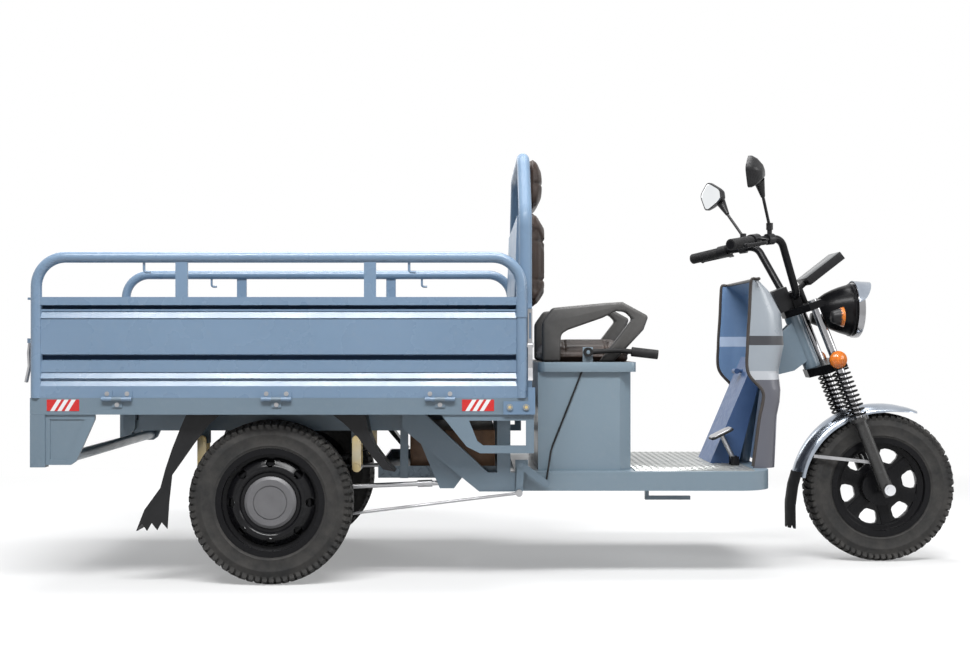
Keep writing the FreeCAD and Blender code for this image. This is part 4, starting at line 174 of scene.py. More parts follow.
def tinted_bands(material, bands, tone, span=whole_length, dull=False):
    """Gives a finish another colour between pairs of heights and within a span of the object's length."""
    tree = material.node_tree
    shader = tree.nodes["Principled BSDF"]
    anywhere = None
    coords = tree.nodes.new("ShaderNodeTexCoord")
    split = tree.nodes.new("ShaderNodeSeparateXYZ")
    tree.links.new(coords.outputs["Object"], split.inputs["Vector"])
    for band in bands:
        both = tree.nodes.new("ShaderNodeMath")
        both.operation = "MULTIPLY"
        for slot, (axis, (low, high)) in enumerate((("Z", band), ("X", span))):
            inside = tree.nodes.new("ShaderNodeMath")
            inside.operation = "COMPARE"
            inside.inputs[1].default_value = (low + high) / 2
            inside.inputs[2].default_value = (high - low) / 2
            tree.links.new(split.outputs[axis], inside.inputs[0])
            tree.links.new(inside.outputs["Value"], both.inputs[slot])
        if anywhere is None:
            anywhere = both.outputs["Value"]
        else:
            either = tree.nodes.new("ShaderNodeMath")
            either.operation = "MAXIMUM"
            tree.links.new(anywhere, either.inputs[0])
            tree.links.new(both.outputs["Value"], either.inputs[1])
            anywhere = either.outputs["Value"]
    clean = shader.inputs["Base Color"].links[0].from_socket
    two_tones(tree, anywhere, clean, tone, shader.inputs["Base Color"], 0.0, 1.0)
    # With dull set, the bands also lose their specular and coat, which paints shade into them.
    if dull:
        for name in ("Specular IOR Level", "Coat Weight"):
            drive(tree, anywhere, shader.inputs[name].default_value, 0.0, shader.inputs[name], 0.0, 1.0)


bed_blue = (0.160, 0.240, 0.345)
bed_shade = (0.140, 0.215, 0.315)
bed_paint = paint("bed_paint", bed_blue, bed_shade, 0.27)
frame_paint = paint("frame_paint", (0.142, 0.196, 0.244), (0.122, 0.172, 0.218), 0.36)
# Painted light: the platform and seat box wear the same paint as the frame, made lighter here for the light
# that falls on them.
cab_paint = paint("cab_paint", (0.178, 0.238, 0.286), (0.155, 0.211, 0.258), 0.34)
black_paint = paint("black_paint", (0.005, 0.005, 0.006), (0.009, 0.009, 0.010), 0.26, grain=520.0,
                    peel=0.06, shine=0.09)
leg_paint = paint("leg_paint", (0.020, 0.020, 0.020), (0.032, 0.031, 0.030), 0.26, grain=420.0,
                  peel=0.05, shine=0.38)
gloss_black = paint("gloss_black", (0.004, 0.004, 0.005), (0.007, 0.007, 0.008), 0.16, grain=300.0,
                    peel=0.03, shine=0.15)
hoop_paint = paint("hoop_paint", bed_blue, bed_shade, 0.44, shine=0.22)
gate_paint = paint("gate_paint", bed_blue, bed_shade, 0.27)
silver_paint = paint("silver_paint", (0.300, 0.330, 0.350), (0.250, 0.280, 0.300), 0.34)
chrome = plated("chrome", (0.80, 0.81, 0.83), (0.66, 0.67, 0.69), 0.06, 0.17)
dark_chrome = plated("dark_chrome", (0.36, 0.36, 0.37), (0.26, 0.26, 0.27), 0.08, 0.22)
polished = plated("polished", (0.42, 0.46, 0.52), (0.32, 0.36, 0.42), 0.14, 0.28)
zinc = plated("zinc", (0.62, 0.47, 0.20), (0.50, 0.45, 0.34), 0.26, 0.42)
steel = plated("steel", (0.42, 0.42, 0.43), (0.30, 0.30, 0.31), 0.30, 0.48)
cast_alloy = plated("cast_alloy", (0.40, 0.41, 0.42), (0.30, 0.31, 0.32), 0.40, 0.58)
tread_metal = plated("tread_metal", (0.50, 0.51, 0.50), (0.40, 0.41, 0.40), 0.30, 0.46, (1.0, 4.0, 1.0))
# Painted shade: the two pressed grooves of the side gates are painted dark and lose their gloss, standing in
# for the shade that falls inside them.
groove_heights = [(0.6842, 0.6985), (0.8375, 0.8475)]
groove_span = (-1.4250, -0.0020)
painted_groove_shade = (0.022, 0.038, 0.068)
tinted_bands(gate_paint, groove_heights, painted_groove_shade, groove_span, dull=True)
print("painted and plated finishes made")

# %% [markdown]
# ### Rubber, plastic and leather
# Rubber is matt and slightly chalky. Moulded plastic has a very fine even grain. The cushions are
# dark brown leathercloth: small cells between soft creases, shiny on the rises and dull in the folds.

# %% Soft and moulded finishes
def moulded(name, tone, shade, rough, grain=900.0, depth=0.08, shine=0.5):
    """Plastic or rubber: a fine grain and a faint chalky bloom."""
    material, tree, shader = new_finish(name)
    bloom = pattern(tree, "Noise", 18.0, Detail=6.0, Roughness=0.65)
    two_tones(tree, bloom, tone, shade, shader.inputs["Base Color"], 0.35, 0.75)
    wander = pattern(tree, "Noise", 60.0, Detail=3.0)
    drive(tree, wander, rough - 0.07, rough + 0.08, shader.inputs["Roughness"])
    relief(tree, pattern(tree, "Noise", grain, Detail=1.0), depth, 0.001, shader)
    shader.inputs["Specular IOR Level"].default_value = shine
    return material


def leathercloth(name, tone, shade):
    """Grained leathercloth: small cells, soft creases and a satin sheen."""
    material, tree, shader = new_finish(name)
    creases = pattern(tree, "Noise", 26.0, Detail=6.0, Roughness=0.6)
    two_tones(tree, creases, tone, shade, shader.inputs["Base Color"], 0.35, 0.7)
    drive(tree, pattern(tree, "Noise", 12.0, Detail=3.0), 0.36, 0.52, shader.inputs["Roughness"])
    relief(tree, pattern(tree, "Voronoi", 330.0, feature="DISTANCE_TO_EDGE"), 0.22, 0.001, shader)
    relief(tree, creases, 0.10, 0.006, shader)
    shader.inputs["Specular IOR Level"].default_value = 0.28
    return material


tyre_rubber = moulded("tyre_rubber", (0.018, 0.018, 0.018), (0.048, 0.045, 0.042), 0.70, shine=0.32)
black_rubber = moulded("black_rubber", (0.010, 0.010, 0.011), (0.017, 0.017, 0.017), 0.60, shine=0.22)
black_plastic = moulded("black_plastic", (0.009, 0.009, 0.010), (0.015, 0.015, 0.016), 0.38, shine=0.24)
blue_plastic = moulded("blue_plastic", (0.046, 0.088, 0.190), (0.056, 0.102, 0.214), 0.42, shine=0.24)
grey_plastic = moulded("grey_plastic", (0.052, 0.050, 0.048), (0.070, 0.068, 0.066), 0.50, grain=700.0,
                       depth=0.14)
cap_grey = moulded("cap_grey", (0.125, 0.124, 0.130), (0.098, 0.097, 0.102), 0.42)
battery_case = moulded("battery_case", (0.200, 0.105, 0.052), (0.098, 0.050, 0.027), 0.50)
trim_brown = moulded("trim_brown", (0.040, 0.034, 0.031), (0.058, 0.050, 0.046), 0.46, shine=0.3)
leather = leathercloth("leather", (0.022, 0.013, 0.010), (0.038, 0.022, 0.016))
print("soft and moulded finishes made")

# %% [markdown]
# ### Lenses, mirror glass and reflective tape
# A lamp glass is moulded with flutes that spread the beam. Indicator lenses are amber plastic with
# fine ribs. The tape on the bed is woven in red and white slashes with a honeycomb behind the colour.

# %% Optical finishes
def lens(name, tone, rough, ribs, depth, turn, through):
    """A clear or coloured lens with moulded ribs."""
    material, tree, shader = new_finish(name)
    shader.inputs["Transmission Weight"].default_value = through
    shader.inputs["IOR"].default_value = 1.49
    shade = tuple(0.82 * c for c in tone)
    two_tones(tree, pattern(tree, "Noise", 30.0, Detail=3.0), tone, shade, shader.inputs["Base Color"])
    drive(tree, pattern(tree, "Noise", 50.0), rough, rough + 0.05, shader.inputs["Roughness"])
    relief(tree, pattern(tree, "Wave", ribs, output="Fac", bands_direction=turn), 0.5, depth, shader)
    return material


def slashed_tape(name, slope, pitch, half):
    """Red tape with three white slashes over small cells, in the strip's own flat metres."""
    material, tree, shader = new_finish(name)
    flat = tree.nodes.new("ShaderNodeUVMap")
    flat.uv_map = "strip"
    split = tree.nodes.new("ShaderNodeSeparateXYZ")
    tree.links.new(flat.outputs["UV"], split.inputs["Vector"])
    lean = tree.nodes.new("ShaderNodeMath")
    lean.operation = "MULTIPLY_ADD"
    lean.inputs[1].default_value = slope
    tree.links.new(split.outputs["Y"], lean.inputs[0])
    tree.links.new(split.outputs["X"], lean.inputs[2])
    cells = pattern(tree, "Voronoi", 420.0, feature="DISTANCE_TO_EDGE")
    colour = two_tones(tree, cells, (0.42, 0.016, 0.016), (0.62, 0.022, 0.020), None, 0.0, 0.2)
    for place in (-pitch, 0.0, pitch):
        inside = tree.nodes.new("ShaderNodeMath")
        inside.operation = "COMPARE"
        inside.inputs[1].default_value = place
        inside.inputs[2].default_value = half
        tree.links.new(lean.outputs["Value"], inside.inputs[0])
        colour = two_tones(tree, inside.outputs["Value"], colour, (0.74, 0.74, 0.75), None, 0.0, 1.0)
    tree.links.new(colour, shader.inputs["Base Color"])
    drive(tree, cells, 0.42, 0.26, shader.inputs["Roughness"], 0.0, 0.3)
    return material


lamp_glass = lens("lamp_glass", (0.94, 0.95, 0.96), rough=0.03, ribs=26.0, depth=0.004, turn="Y",
                  through=0.92)
amber_lens = lens("amber_lens", (0.90, 0.24, 0.015), rough=0.12, ribs=60.0, depth=0.002, turn="Y",
                  through=0.35)
mirror_glass = plated("mirror_glass", (0.86, 0.88, 0.89), (0.82, 0.84, 0.86), 0.01, 0.04)
reflector_bowl = plated("reflector_bowl", (0.80, 0.80, 0.79), (0.70, 0.70, 0.69), 0.08, 0.20)
tape = slashed_tape("tape", slope=-0.62, pitch=0.0215, half=0.0062)
screen = moulded("screen", (0.010, 0.014, 0.018), (0.014, 0.019, 0.024), 0.16, grain=300.0, depth=0.01)
white_plastic = moulded("white_plastic", (0.62, 0.62, 0.60), (0.54, 0.54, 0.52), 0.44)
print("optical finishes made")

# %% [markdown]
# ## Finish the solid pieces
# Each solid piece keeps its shape and only takes a material. Pieces that we make again further down
# are listed too, so nothing can be left bare.

# %% A finish for each solid piece
finish_of = {
    bed_paint: ["bulkhead", "tailgate"],
    hoop_paint: ["backrest_hoop"],
    gate_paint: ["side_gate_right", "side_gate_left"],
    frame_paint: ["chassis_rails", "head_frame", "battery_tray", "bed_frame", "bed_guards", "bell_crank"],
    # The platform and seat box take the frame paint with painted light.
    cab_paint: ["platform", "seat_box"],
    silver_paint: ["front_fender", "leg_shield"],
    black_paint: ["front_rim", "steering_head", "handlebar", "rear_rim_right", "rear_rim_left",
                  "axle_housing", "leaf_springs", "brake_lever_right", "brake_lever_left"],
    dark_chrome: ["fork_tubes"],
    leg_paint: ["fork_legs"],
    chrome: ["fork_springs", "headlight"],
    steel: ["brake_rod", "thrust_rods", "latch_fittings", "latch_lever_front_right",
            "latch_lever_front_left", "latch_lever_rear_right", "latch_lever_rear_left"],
    zinc: ["spring_shackles"],
    cast_alloy: ["drive_motor"],
    tread_metal: ["tread_plate"],
    black_rubber: ["brake_pedal", "hand_brake_lever", "hand_brake_cable", "throttle_grip"],
    tyre_rubber: ["front_tyre", "rear_tyre_right", "rear_tyre_left"],
    black_plastic: ["hand_controls", "dash", "mirror_right", "mirror_left", "seat_base", "mudguards"],
    blue_plastic: ["knee_panel"],
    grey_plastic: ["armrests"],
    cap_grey: ["hub_cap_right", "hub_cap_left"],
    battery_case: ["battery_pack"],
    amber_lens: ["indicators"],
    leather: ["seat_cushion", "back_cushion", "headrest"],
}
for material, names in finish_of.items():
    for name in names:
        nodes[name].data.materials.clear()
        nodes[name].data.materials.append(material)
bare = sorted(set(nodes) - {name for names in finish_of.values() for name in names})
print("pieces without a finish:", bare)

# %% [markdown]
# ## Camera, light and floor
# The photograph looks almost square at the right-hand side from about four and a half metres.
# The floor fades into a white background, so that only the soft shadow below the wheels shows on it.

# %% Set the camera
view = bpy.data.cameras.new("photo_view")
view.lens = 48.43
view.sensor_width = 36.0
view.shift_x = 0.0144
view.shift_y = 0.0201
camera = bpy.data.objects.new("photo_view", view)
camera.location = (-0.137, -4.430, 0.735)
camera.rotation_euler = (math.pi / 2, 0.0, 0.0)
bpy.context.scene.collection.objects.link(camera)
bpy.context.scene.camera = camera
bpy.context.scene.view_settings.view_transform = "Standard"

# %% Light it like an overcast day
def softbox(name, place, target, size, power):
    """A large rectangular light that looks at a point."""
    light = bpy.data.lights.new(name, "AREA")
    light.shape = "RECTANGLE"
    light.size = size[0]
    light.size_y = size[1]
    light.energy = power
    lamp = bpy.data.objects.new(name, light)
    lamp.location = place
    lamp.rotation_euler = (Vector(target) - Vector(place)).to_track_quat("-Z", "Y").to_euler()
    bpy.context.scene.collection.objects.link(lamp)


softbox("key", (-0.3, -3.5, 4.9), (-0.3, 0.0, 0.4), (5.0, 1.1), 430.0)
softbox("top", (-0.2, 0.5, 4.6), (-0.2, 0.0, 0.0), (3.6, 2.0), 190.0)
softbox("front", (4.6, -1.6, 2.2), (0.9, 0.0, 0.7), (1.8, 1.8), 60.0)
softbox("back", (-2.2, 4.4, 2.6), (-0.3, 0.0, 0.6), (2.4, 2.4), 55.0)

sky = bpy.data.worlds.new("studio")
bpy.context.scene.world = sky
sky.use_nodes = True


def show(tree, plain, clean, out):
    """Lets the object catch plain light, while camera, reflections and glass see a clean background."""
    path = tree.nodes.new("ShaderNodeLightPath")
    seen = path.outputs["Is Camera Ray"]
    for name in ("Is Glossy Ray", "Is Transmission Ray"):
        either = tree.nodes.new("ShaderNodeMath")
        either.operation = "MAXIMUM"
        tree.links.new(seen, either.inputs[0])
        tree.links.new(path.outputs[name], either.inputs[1])
        seen = either.outputs["Value"]
    pick = tree.nodes.new("ShaderNodeMixShader")
    tree.links.new(seen, pick.inputs["Fac"])
    tree.links.new(plain, pick.inputs[1])
    tree.links.new(clean, pick.inputs[2])
    tree.links.new(pick.outputs["Shader"], out)


ambient = sky.node_tree.nodes["Background"]
ambient.inputs["Color"].default_value = (0.93, 0.96, 1.0, 1.0)
ambient.inputs["Strength"].default_value = 0.22
clean = sky.node_tree.nodes.new("ShaderNodeBackground")
clean.inputs["Color"].default_value = (1.0, 1.0, 1.0, 1.0)
show(sky.node_tree, ambient.outputs["Background"], clean.outputs["Background"],
     sky.node_tree.nodes["World Output"].inputs["Surface"])

# %% Lay the floor
floor_mesh = bpy.data.meshes.new("floor")
floor_side, floor_near, floor_far = 9, -6, 12
floor_corners = [(-floor_side, floor_near, 0), (floor_side, floor_near, 0), (floor_side, floor_far, 0),
                 (-floor_side, floor_far, 0)]
floor_mesh.from_pydata(floor_corners, [], [(0, 1, 2, 3)])
floor = bpy.data.objects.new("floor", floor_mesh)
bpy.context.scene.collection.objects.link(floor)
floor_white, tree, shader = new_finish("floor_white")
shader.inputs["Base Color"].default_value = (0.52, 0.52, 0.52, 1.0)
shader.inputs["Emission Color"].default_value = (1.0, 1.0, 1.0, 1.0)
shader.inputs["Emission Strength"].default_value = 0.30
shader.inputs["Roughness"].default_value = 0.9
shader.inputs["Specular IOR Level"].default_value = 0.0
around = pattern(tree, "Gradient", 1.0, (1 / 5.6, 1 / 3.8, 1.0), 1, gradient_type="SPHERICAL")
sweep = tree.nodes.new("ShaderNodeEmission")
fading = tree.nodes.new("ShaderNodeMixShader")
drive(tree, around, 1.0, 0.0, fading.inputs["Fac"], 0.10, 0.55)
tree.links.new(shader.outputs["BSDF"], fading.inputs[1])
tree.links.new(sweep.outputs["Emission"], fading.inputs[2])
ground = tree.nodes.new("ShaderNodeBsdfDiffuse")
ground.inputs["Color"].default_value = (0.34, 0.34, 0.34, 1.0)
show(tree, ground.outputs["BSDF"], fading.outputs["Shader"], tree.nodes["Material Output"].inputs["Surface"])
floor_mesh.materials.append(floor_white)
print("camera, light and floor set")

# %% [markdown]
# ## Tyres with real tread
# The solid tyres are smooth rings. A road tyre has a carcass with moulded ribs on its wall, and rows
# of rubber blocks round the crown. The carcass is a profile turned round the axle. The blocks repeat,
# so a small node tree sets them out: one row for each set of inputs.

# %% Turn a profile and keep finished pieces tidy
def seat_piece(name, mesh, body, material, smooth=True, replaced=()):
    """Makes a finished mesh a piece of the tricycle that rides on a body."""
    shape = bmesh.new()
    shape.from_mesh(mesh)
    bmesh.ops.remove_doubles(shape, verts=shape.verts, dist=1e-6)
    bmesh.ops.recalc_face_normals(shape, faces=shape.faces)
    shape.to_mesh(mesh)
    shape.free()
    mesh.name = name
    if material is not None:
        mesh.materials.clear()
        mesh.materials.append(material)
    if smooth:
        mesh.shade_smooth()
        mesh.set_sharp_from_angle(angle=math.radians(38.0))
    made = bpy.data.objects.new(name, mesh)
    bpy.context.scene.collection.objects.link(made)
    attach(made, body)
    if replaced:
        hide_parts(*replaced)
    return made


def turned(profile, steps=72):
    """A closed profile of (radius, along Y) turned round the Y axis."""
    points = []
    faces = []
    count = len(profile)
    for i in range(steps):
        turn = 2.0 * math.pi * i / steps
        points += [(r * math.cos(turn), y, r * math.sin(turn)) for r, y in profile]
        for j in range(count):
            k = (j + 1) % count
            step = ((i + 1) % steps) * count
            faces.append((i * count + j, i * count + k, step + k, step + j))
    mesh = bpy.data.meshes.new("turned")
    mesh.from_pydata(points, [], faces)
    return mesh


def joined(meshes):
    """Several meshes as one, each with its material kept."""
    shape = bmesh.new()
    materials = []
    for mesh in meshes:
        start = len(shape.faces)
        shape.from_mesh(mesh)
        shape.faces.ensure_lookup_table()
        own = list(mesh.materials) or [None]
        for face in shape.faces[start:]:
            material = own[min(face.material_index, len(own) - 1)]
            if material not in materials:
                materials.append(material)
            face.material_index = materials.index(material)
    whole = bpy.data.meshes.new("joined")
    shape.to_mesh(whole)
    shape.free()
    for material in materials:
        whole.materials.append(material)
    return whole


# %% Close a shape from rings or from rows
def stacked(rings):
    """A closed shape through rings of equally many points, capped at both ends."""
    count = len(rings[0])
    points = [p for ring in rings for p in ring]
    faces = [tuple(range(count)), tuple(range(len(points) - count, len(points)))]
    for start in range(0, len(points) - count, count):
        for i in range(count):
            j = (i + 1) % count
            faces.append((start + i, start + j, start + count + j, start + count + i))
    mesh = bpy.data.meshes.new("stacked")
    mesh.from_pydata(points, [], faces)
    shape = bmesh.new()
    shape.from_mesh(mesh)
    bmesh.ops.recalc_face_normals(shape, faces=shape.faces)
    shape.to_mesh(mesh)
    shape.free()
    return mesh


def shell(rows, skin):
    """A closed sheet: rows of (point, outward way) pairs, made thick inwards."""
    wide = len(rows[0])
    outer = [p for row in rows for p, _ in row]
    inner = [p - n * skin for row in rows for p, n in row]
    half = len(outer)
    faces = []
    for i in range(len(rows) - 1):
        for j in range(wide - 1):
            quad = [i * wide + j, i * wide + j + 1, (i + 1) * wide + j + 1, (i + 1) * wide + j]
            faces.append(quad)
            faces.append([half + k for k in quad[::-1]])
    last = (len(rows) - 1) * wide
    rim = list(range(wide)) + [i * wide + wide - 1 for i in range(1, len(rows))]
    rim += [last + j for j in range(wide - 2, -1, -1)] + [i * wide for i in range(len(rows) - 2, 0, -1)]
    for a, b in zip(rim, rim[1:] + rim[:1]):
        faces.append([a, half + a, half + b, b])
    mesh = bpy.data.meshes.new("shell")
    mesh.from_pydata(outer + inner, [], faces)
    return mesh


# %% A node tree that sets out one row of tread blocks
def new_tree(name, inputs):
    """A geometry tree with named inputs, given as (name, socket type, value)."""
    tree = bpy.data.node_groups.new(name, "GeometryNodeTree")
    tree.interface.new_socket("Geometry", in_out="INPUT", socket_type="NodeSocketGeometry")
    for label, kind, value in inputs:
        socket = tree.interface.new_socket(label, in_out="INPUT", socket_type="NodeSocket" + kind)
        if value is not None:
            socket.default_value = value
    tree.interface.new_socket("Geometry", in_out="OUTPUT", socket_type="NodeSocketGeometry")
    given = tree.nodes.new("NodeGroupInput")
    out = tree.nodes.new("NodeGroupOutput")
    return tree, given.outputs, out.inputs["Geometry"]


def put(tree, kind, **wires):
    """A node whose inputs are wired to sockets or set to values."""
    node = tree.nodes.new(kind)
    for key in [k for k in wires if hasattr(node, k) and k.islower()]:
        setattr(node, key, wires.pop(key))
    for key, value in wires.items():
        numbered = key[0] == "i" and key[1:].isdigit()
        socket = node.inputs[int(key[1:]) if numbered else key.replace("_", " ")]
        if hasattr(value, "is_output"):
            tree.links.new(value, socket)
        else:
            socket.default_value = value
    return node.outputs


def end_tree(tree, geometry, material, out):
    """Closes a tree with real geometry and its finish."""
    real = put(tree, "GeometryNodeRealizeInstances", Geometry=geometry)["Geometry"]
    done = put(tree, "GeometryNodeSetMaterial", Geometry=real, Material=material)["Geometry"]
    tree.links.new(done, out)


def grow(tree, base=None, **inputs):
    """Runs a tree with these inputs and returns the plain mesh."""
    carrier = bpy.data.objects.new("carrier", base or bpy.data.meshes.new("carrier"))
    bpy.context.scene.collection.objects.link(carrier)
    modifier = carrier.modifiers.new("grow", "NODES")
    modifier.node_group = tree
    for item in tree.interface.items_tree:
        key = item.name.replace(" ", "_")
        if item.in_out == "INPUT" and key in inputs:
            modifier[item.identifier] = inputs[key]
    carrier.update_tag()
    graph = bpy.context.evaluated_depsgraph_get()
    mesh = bpy.data.meshes.new_from_object(carrier.evaluated_get(graph))
    carrier.modifiers.remove(modifier)
    bpy.data.objects.remove(carrier)
    return mesh


row_tree, given, row_out = new_tree("tread_row", [
    ("Count", "Int", 60), ("Radius", "Float", 0.24), ("Offset", "Float", 0.0), ("Start", "Float", 0.0),
    ("Block", "Vector", (0.008, 0.014, 0.014)), ("Lean", "Float", 0.0), ("Tilt", "Float", 0.0),
    ("Material", "Material", None)])
line = put(row_tree, "GeometryNodeMeshLine", Count=given["Count"])["Mesh"]
index = put(row_tree, "GeometryNodeInputIndex")["Index"]
share = put(row_tree, "ShaderNodeMath", operation="DIVIDE", i0=index, i1=given["Count"])[0]
angle = put(row_tree, "ShaderNodeMath", operation="MULTIPLY_ADD", i0=share, i1=2.0 * math.pi,
            i2=given["Start"])[0]
across = put(row_tree, "ShaderNodeMath", operation="COSINE", i0=angle)[0]
upward = put(row_tree, "ShaderNodeMath", operation="SINE", i0=angle)[0]
x = put(row_tree, "ShaderNodeMath", operation="MULTIPLY", i0=across, i1=given["Radius"])[0]
z = put(row_tree, "ShaderNodeMath", operation="MULTIPLY", i0=upward, i1=given["Radius"])[0]
place = put(row_tree, "ShaderNodeCombineXYZ", X=x, Y=given["Offset"], Z=z)[0]
ring = put(row_tree, "GeometryNodeSetPosition", Geometry=line, Position=place)["Geometry"]
block = put(row_tree, "GeometryNodeMeshCube", Size=given["Block"])["Mesh"]
twist = put(row_tree, "ShaderNodeCombineXYZ", X=given["Lean"], Z=given["Tilt"])[0]
block = put(row_tree, "GeometryNodeTransform", Geometry=block, Rotation=twist)["Geometry"]
back = put(row_tree, "ShaderNodeMath", operation="MULTIPLY", i0=angle, i1=-1.0)[0]
spin = put(row_tree, "ShaderNodeCombineXYZ", Y=back)[0]
blocks = put(row_tree, "GeometryNodeInstanceOnPoints", Points=ring, Instance=block, Rotation=spin)
end_tree(row_tree, blocks["Instances"], given["Material"], row_out)
print("tread row tree:", len(row_tree.nodes), "nodes")

# %% Make the three tyres
# Each row: blocks, radius, place across, start within a pitch, block size, lean and tilt.
tread_rows = [(56, 0.2448, 0.28, 0.0, (0.0100, 0.30, 0.0175), 0.45, 0.02),
              (56, 0.2448, -0.28, 0.5, (0.0100, 0.30, 0.0175), -0.45, -0.02),
              (70, 0.2392, 0.76, 0.2, (0.0100, 0.30, 0.0130), 0.12, 0.42),
              (70, 0.2392, -0.76, 0.7, (0.0100, 0.30, 0.0130), -0.12, -0.42),
              (70, 0.2308, 0.925, 0.2, (0.0140, 0.055, 0.0130), 0.0, 0.22),
              (70, 0.2308, -0.925, 0.7, (0.0140, 0.055, 0.0130), 0.0, -0.22)]
front_half_width = 0.0450
rear_half_width = 0.0475


def tyre_profile(half):
    """Radius and offset of a tyre's section, with two ribs moulded on each wall."""
    bead_radius, bead_share = 0.1575, 0.62
    wall = [(0.1532, 0.76), (0.1610, 0.80), (0.1690, 0.865), (0.1720, 0.885), (0.1735, 0.915),
            (0.1765, 0.915), (0.1780, 0.905), (0.1930, 0.965), (0.2050, 0.985), (0.2065, 1.0),
            (0.2100, 1.0), (0.2115, 0.985), (0.2240, 0.955), (0.2325, 0.905), (0.2385, 0.82),
            (0.2420, 0.62), (0.2438, 0.32), (0.2442, 0.0)]
    outer = [(r, share * half) for r, share in wall]
    outer += [(r, -share * half) for r, share in wall[-2::-1]]
    return outer + [(bead_radius, -bead_share * half), (bead_radius, bead_share * half)]


def tyre(name, body, node, half, centre):
    """A carcass with six rows of blocks round it."""
    meshes = [turned(tyre_profile(half), 120)]
    meshes[0].materials.append(tyre_rubber)
    for count, radius, side, start, size, lean, tilt in tread_rows:
        block_size = (size[0], size[1] * 2 * half, size[2])
        row_start = start * 2 * math.pi / count
        meshes.append(grow(row_tree, Count=count, Radius=radius, Offset=side * half, Start=row_start,
                           Block=block_size, Lean=lean, Tilt=tilt, Material=tyre_rubber))
    whole = joined(meshes)
    whole.transform(Matrix.Translation(centre))
    made = seat_piece(name, whole, body, tyre_rubber, True, (node,))
    return len(whole.polygons)


axle_front = joint_at["front_wheel_spin"]
faces = [tyre("tyre_front", "front_wheel", "front_tyre", front_half_width, axle_front)]
for word in ("right", "left"):
    wheel = "rear_wheel_" + word
    faces.append(tyre("tyre_" + word, wheel, "rear_tyre_" + word, rear_half_width, joint_at[wheel + "_spin"]))
print("faces in each tyre:", faces)

# %% [markdown]
# ## Three stuffed cushions
# The seat, the back and the head cushion are leathercloth covers filled with foam. A cover bulges
# between its seams and stays flat where it is glued to its board. We let a short cloth simulation
# blow each cover up from the inside, limit how far it may go, and then pull the sewn channels in.

# %% Blow up a cover
def solid_copy(node):
    """The mesh of a solid piece, with its loose triangles joined up."""
    mesh = nodes[node].data.copy()
    shape = bmesh.new()
    shape.from_mesh(mesh)
    bmesh.ops.remove_doubles(shape, verts=shape.verts, dist=2e-5)
    shape.to_mesh(mesh)
    shape.free()
    return mesh


def through(mesh, kind, **settings):
    """The mesh after one modifier."""
    carrier = bpy.data.objects.new("carrier", mesh)
    bpy.context.scene.collection.objects.link(carrier)
    modifier = carrier.modifiers.new("step", kind)
    for key, value in settings.items():
        setattr(modifier, key, value)
    graph = bpy.context.evaluated_depsgraph_get()
    result = bpy.data.meshes.new_from_object(carrier.evaluated_get(graph))
    bpy.data.objects.remove(carrier)
    return result


cloth_frames = 20


def blown(mesh, held, pressure, most):
    """Lets a cover bulge; held marks the glued points and most is the furthest that a point may move."""
    rest = np.array([v.co for v in mesh.vertices])
    carrier = bpy.data.objects.new("cover", mesh)
    bpy.context.scene.collection.objects.link(carrier)
    glued = carrier.vertex_groups.new(name="glued")
    glued.add([i for i, p in enumerate(rest) if held(p)], 1.0, "REPLACE")
    cloth = carrier.modifiers.new("cloth", "CLOTH").settings
    cloth.vertex_group_mass = "glued"
    cloth.use_pressure = True
    cloth.uniform_pressure_force = pressure
    cloth.effector_weights.gravity = 0.0
    cloth.quality = 4
    cloth.mass = 0.25
    cloth.tension_stiffness = 18.0
    cloth.compression_stiffness = 18.0
    cloth.bending_stiffness = 1.2
    for frame_number in range(1, cloth_frames + 1):
        bpy.context.scene.frame_set(frame_number)
    graph = bpy.context.evaluated_depsgraph_get()
    grown = bpy.data.meshes.new_from_object(carrier.evaluated_get(graph))
    bpy.context.scene.frame_set(1)
    bpy.data.objects.remove(carrier)
    moved = np.array([v.co for v in grown.vertices]) - rest
    reach = np.linalg.norm(moved, axis=1, keepdims=True)
    moved *= np.minimum(1.0, most / np.maximum(reach, 1e-9))
    grown.vertices.foreach_set("co", (rest + moved).astype(np.float32).ravel())
    grown.update()
    return grown


cover_voxel = 0.0055
glued_depth = 0.010
air_pressure = 4.0
bulge_limit = 0.006
channel_width = 0.005
piping_share = 0.38
piping_width = 0.0032
piping_rise = 0.0030


def cushion(name, node, body, up, channels, depth):
    """Makes a cushion: up is the way its face looks, channels are (axis, place) of the sewn grooves."""
    low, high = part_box(node)
    thick = high[up] - low[up]
    mesh = through(solid_copy(node), "REMESH", mode="VOXEL", voxel_size=cover_voxel)
    base = low[up] + glued_depth
    mesh = blown(mesh, lambda p: p[up] < base, air_pressure, bulge_limit)
    mesh = through(mesh, "SUBSURF", levels=1, render_levels=1)
    normals = np.array([v.normal for v in mesh.vertices])
    points = np.array([v.co for v in mesh.vertices])
    top = np.clip((points[:, up] - low[up]) / thick, 0.0, 1.0) ** 2
    pull = np.zeros(len(points))
    for axis, place in channels:
        pull = np.maximum(pull, np.exp(-(((points[:, axis] - place) / channel_width) ** 2)))
    points -= normals * (pull * top * depth)[:, None]
    seam = low[up] + piping_share * thick
    ridge = np.exp(-(((points[:, up] - seam) / piping_width) ** 2))
    side = 1.0 - np.abs(normals[:, up])
    points += normals * (ridge * side * piping_rise)[:, None]
    mesh.vertices.foreach_set("co", points.astype(np.float32).ravel())
    mesh.update()
    made = seat_piece(name, mesh, body, leather, True, (node,))
    made.data.set_sharp_from_angle(angle=math.pi)
    print(name, "has", len(mesh.polygons), "faces")


length, width, height = 0, 1, 2
lengthwise_seams = [(width, -0.120), (width, 0.120)]
seat_seams = [(length, 0.165), (length, 0.300)] + lengthwise_seams
back_seams = [(height, 0.940), (height, 1.065)] + lengthwise_seams
head_seams = [(height, 1.260)]
cushion("cushion_seat", "seat_cushion", "chassis", height, seat_seams, depth=0.006)
cushion("cushion_back", "back_cushion", "cargo_bed", length, back_seams, depth=0.005)
cushion("cushion_head", "headrest", "cargo_bed", length, head_seams, depth=0.004)
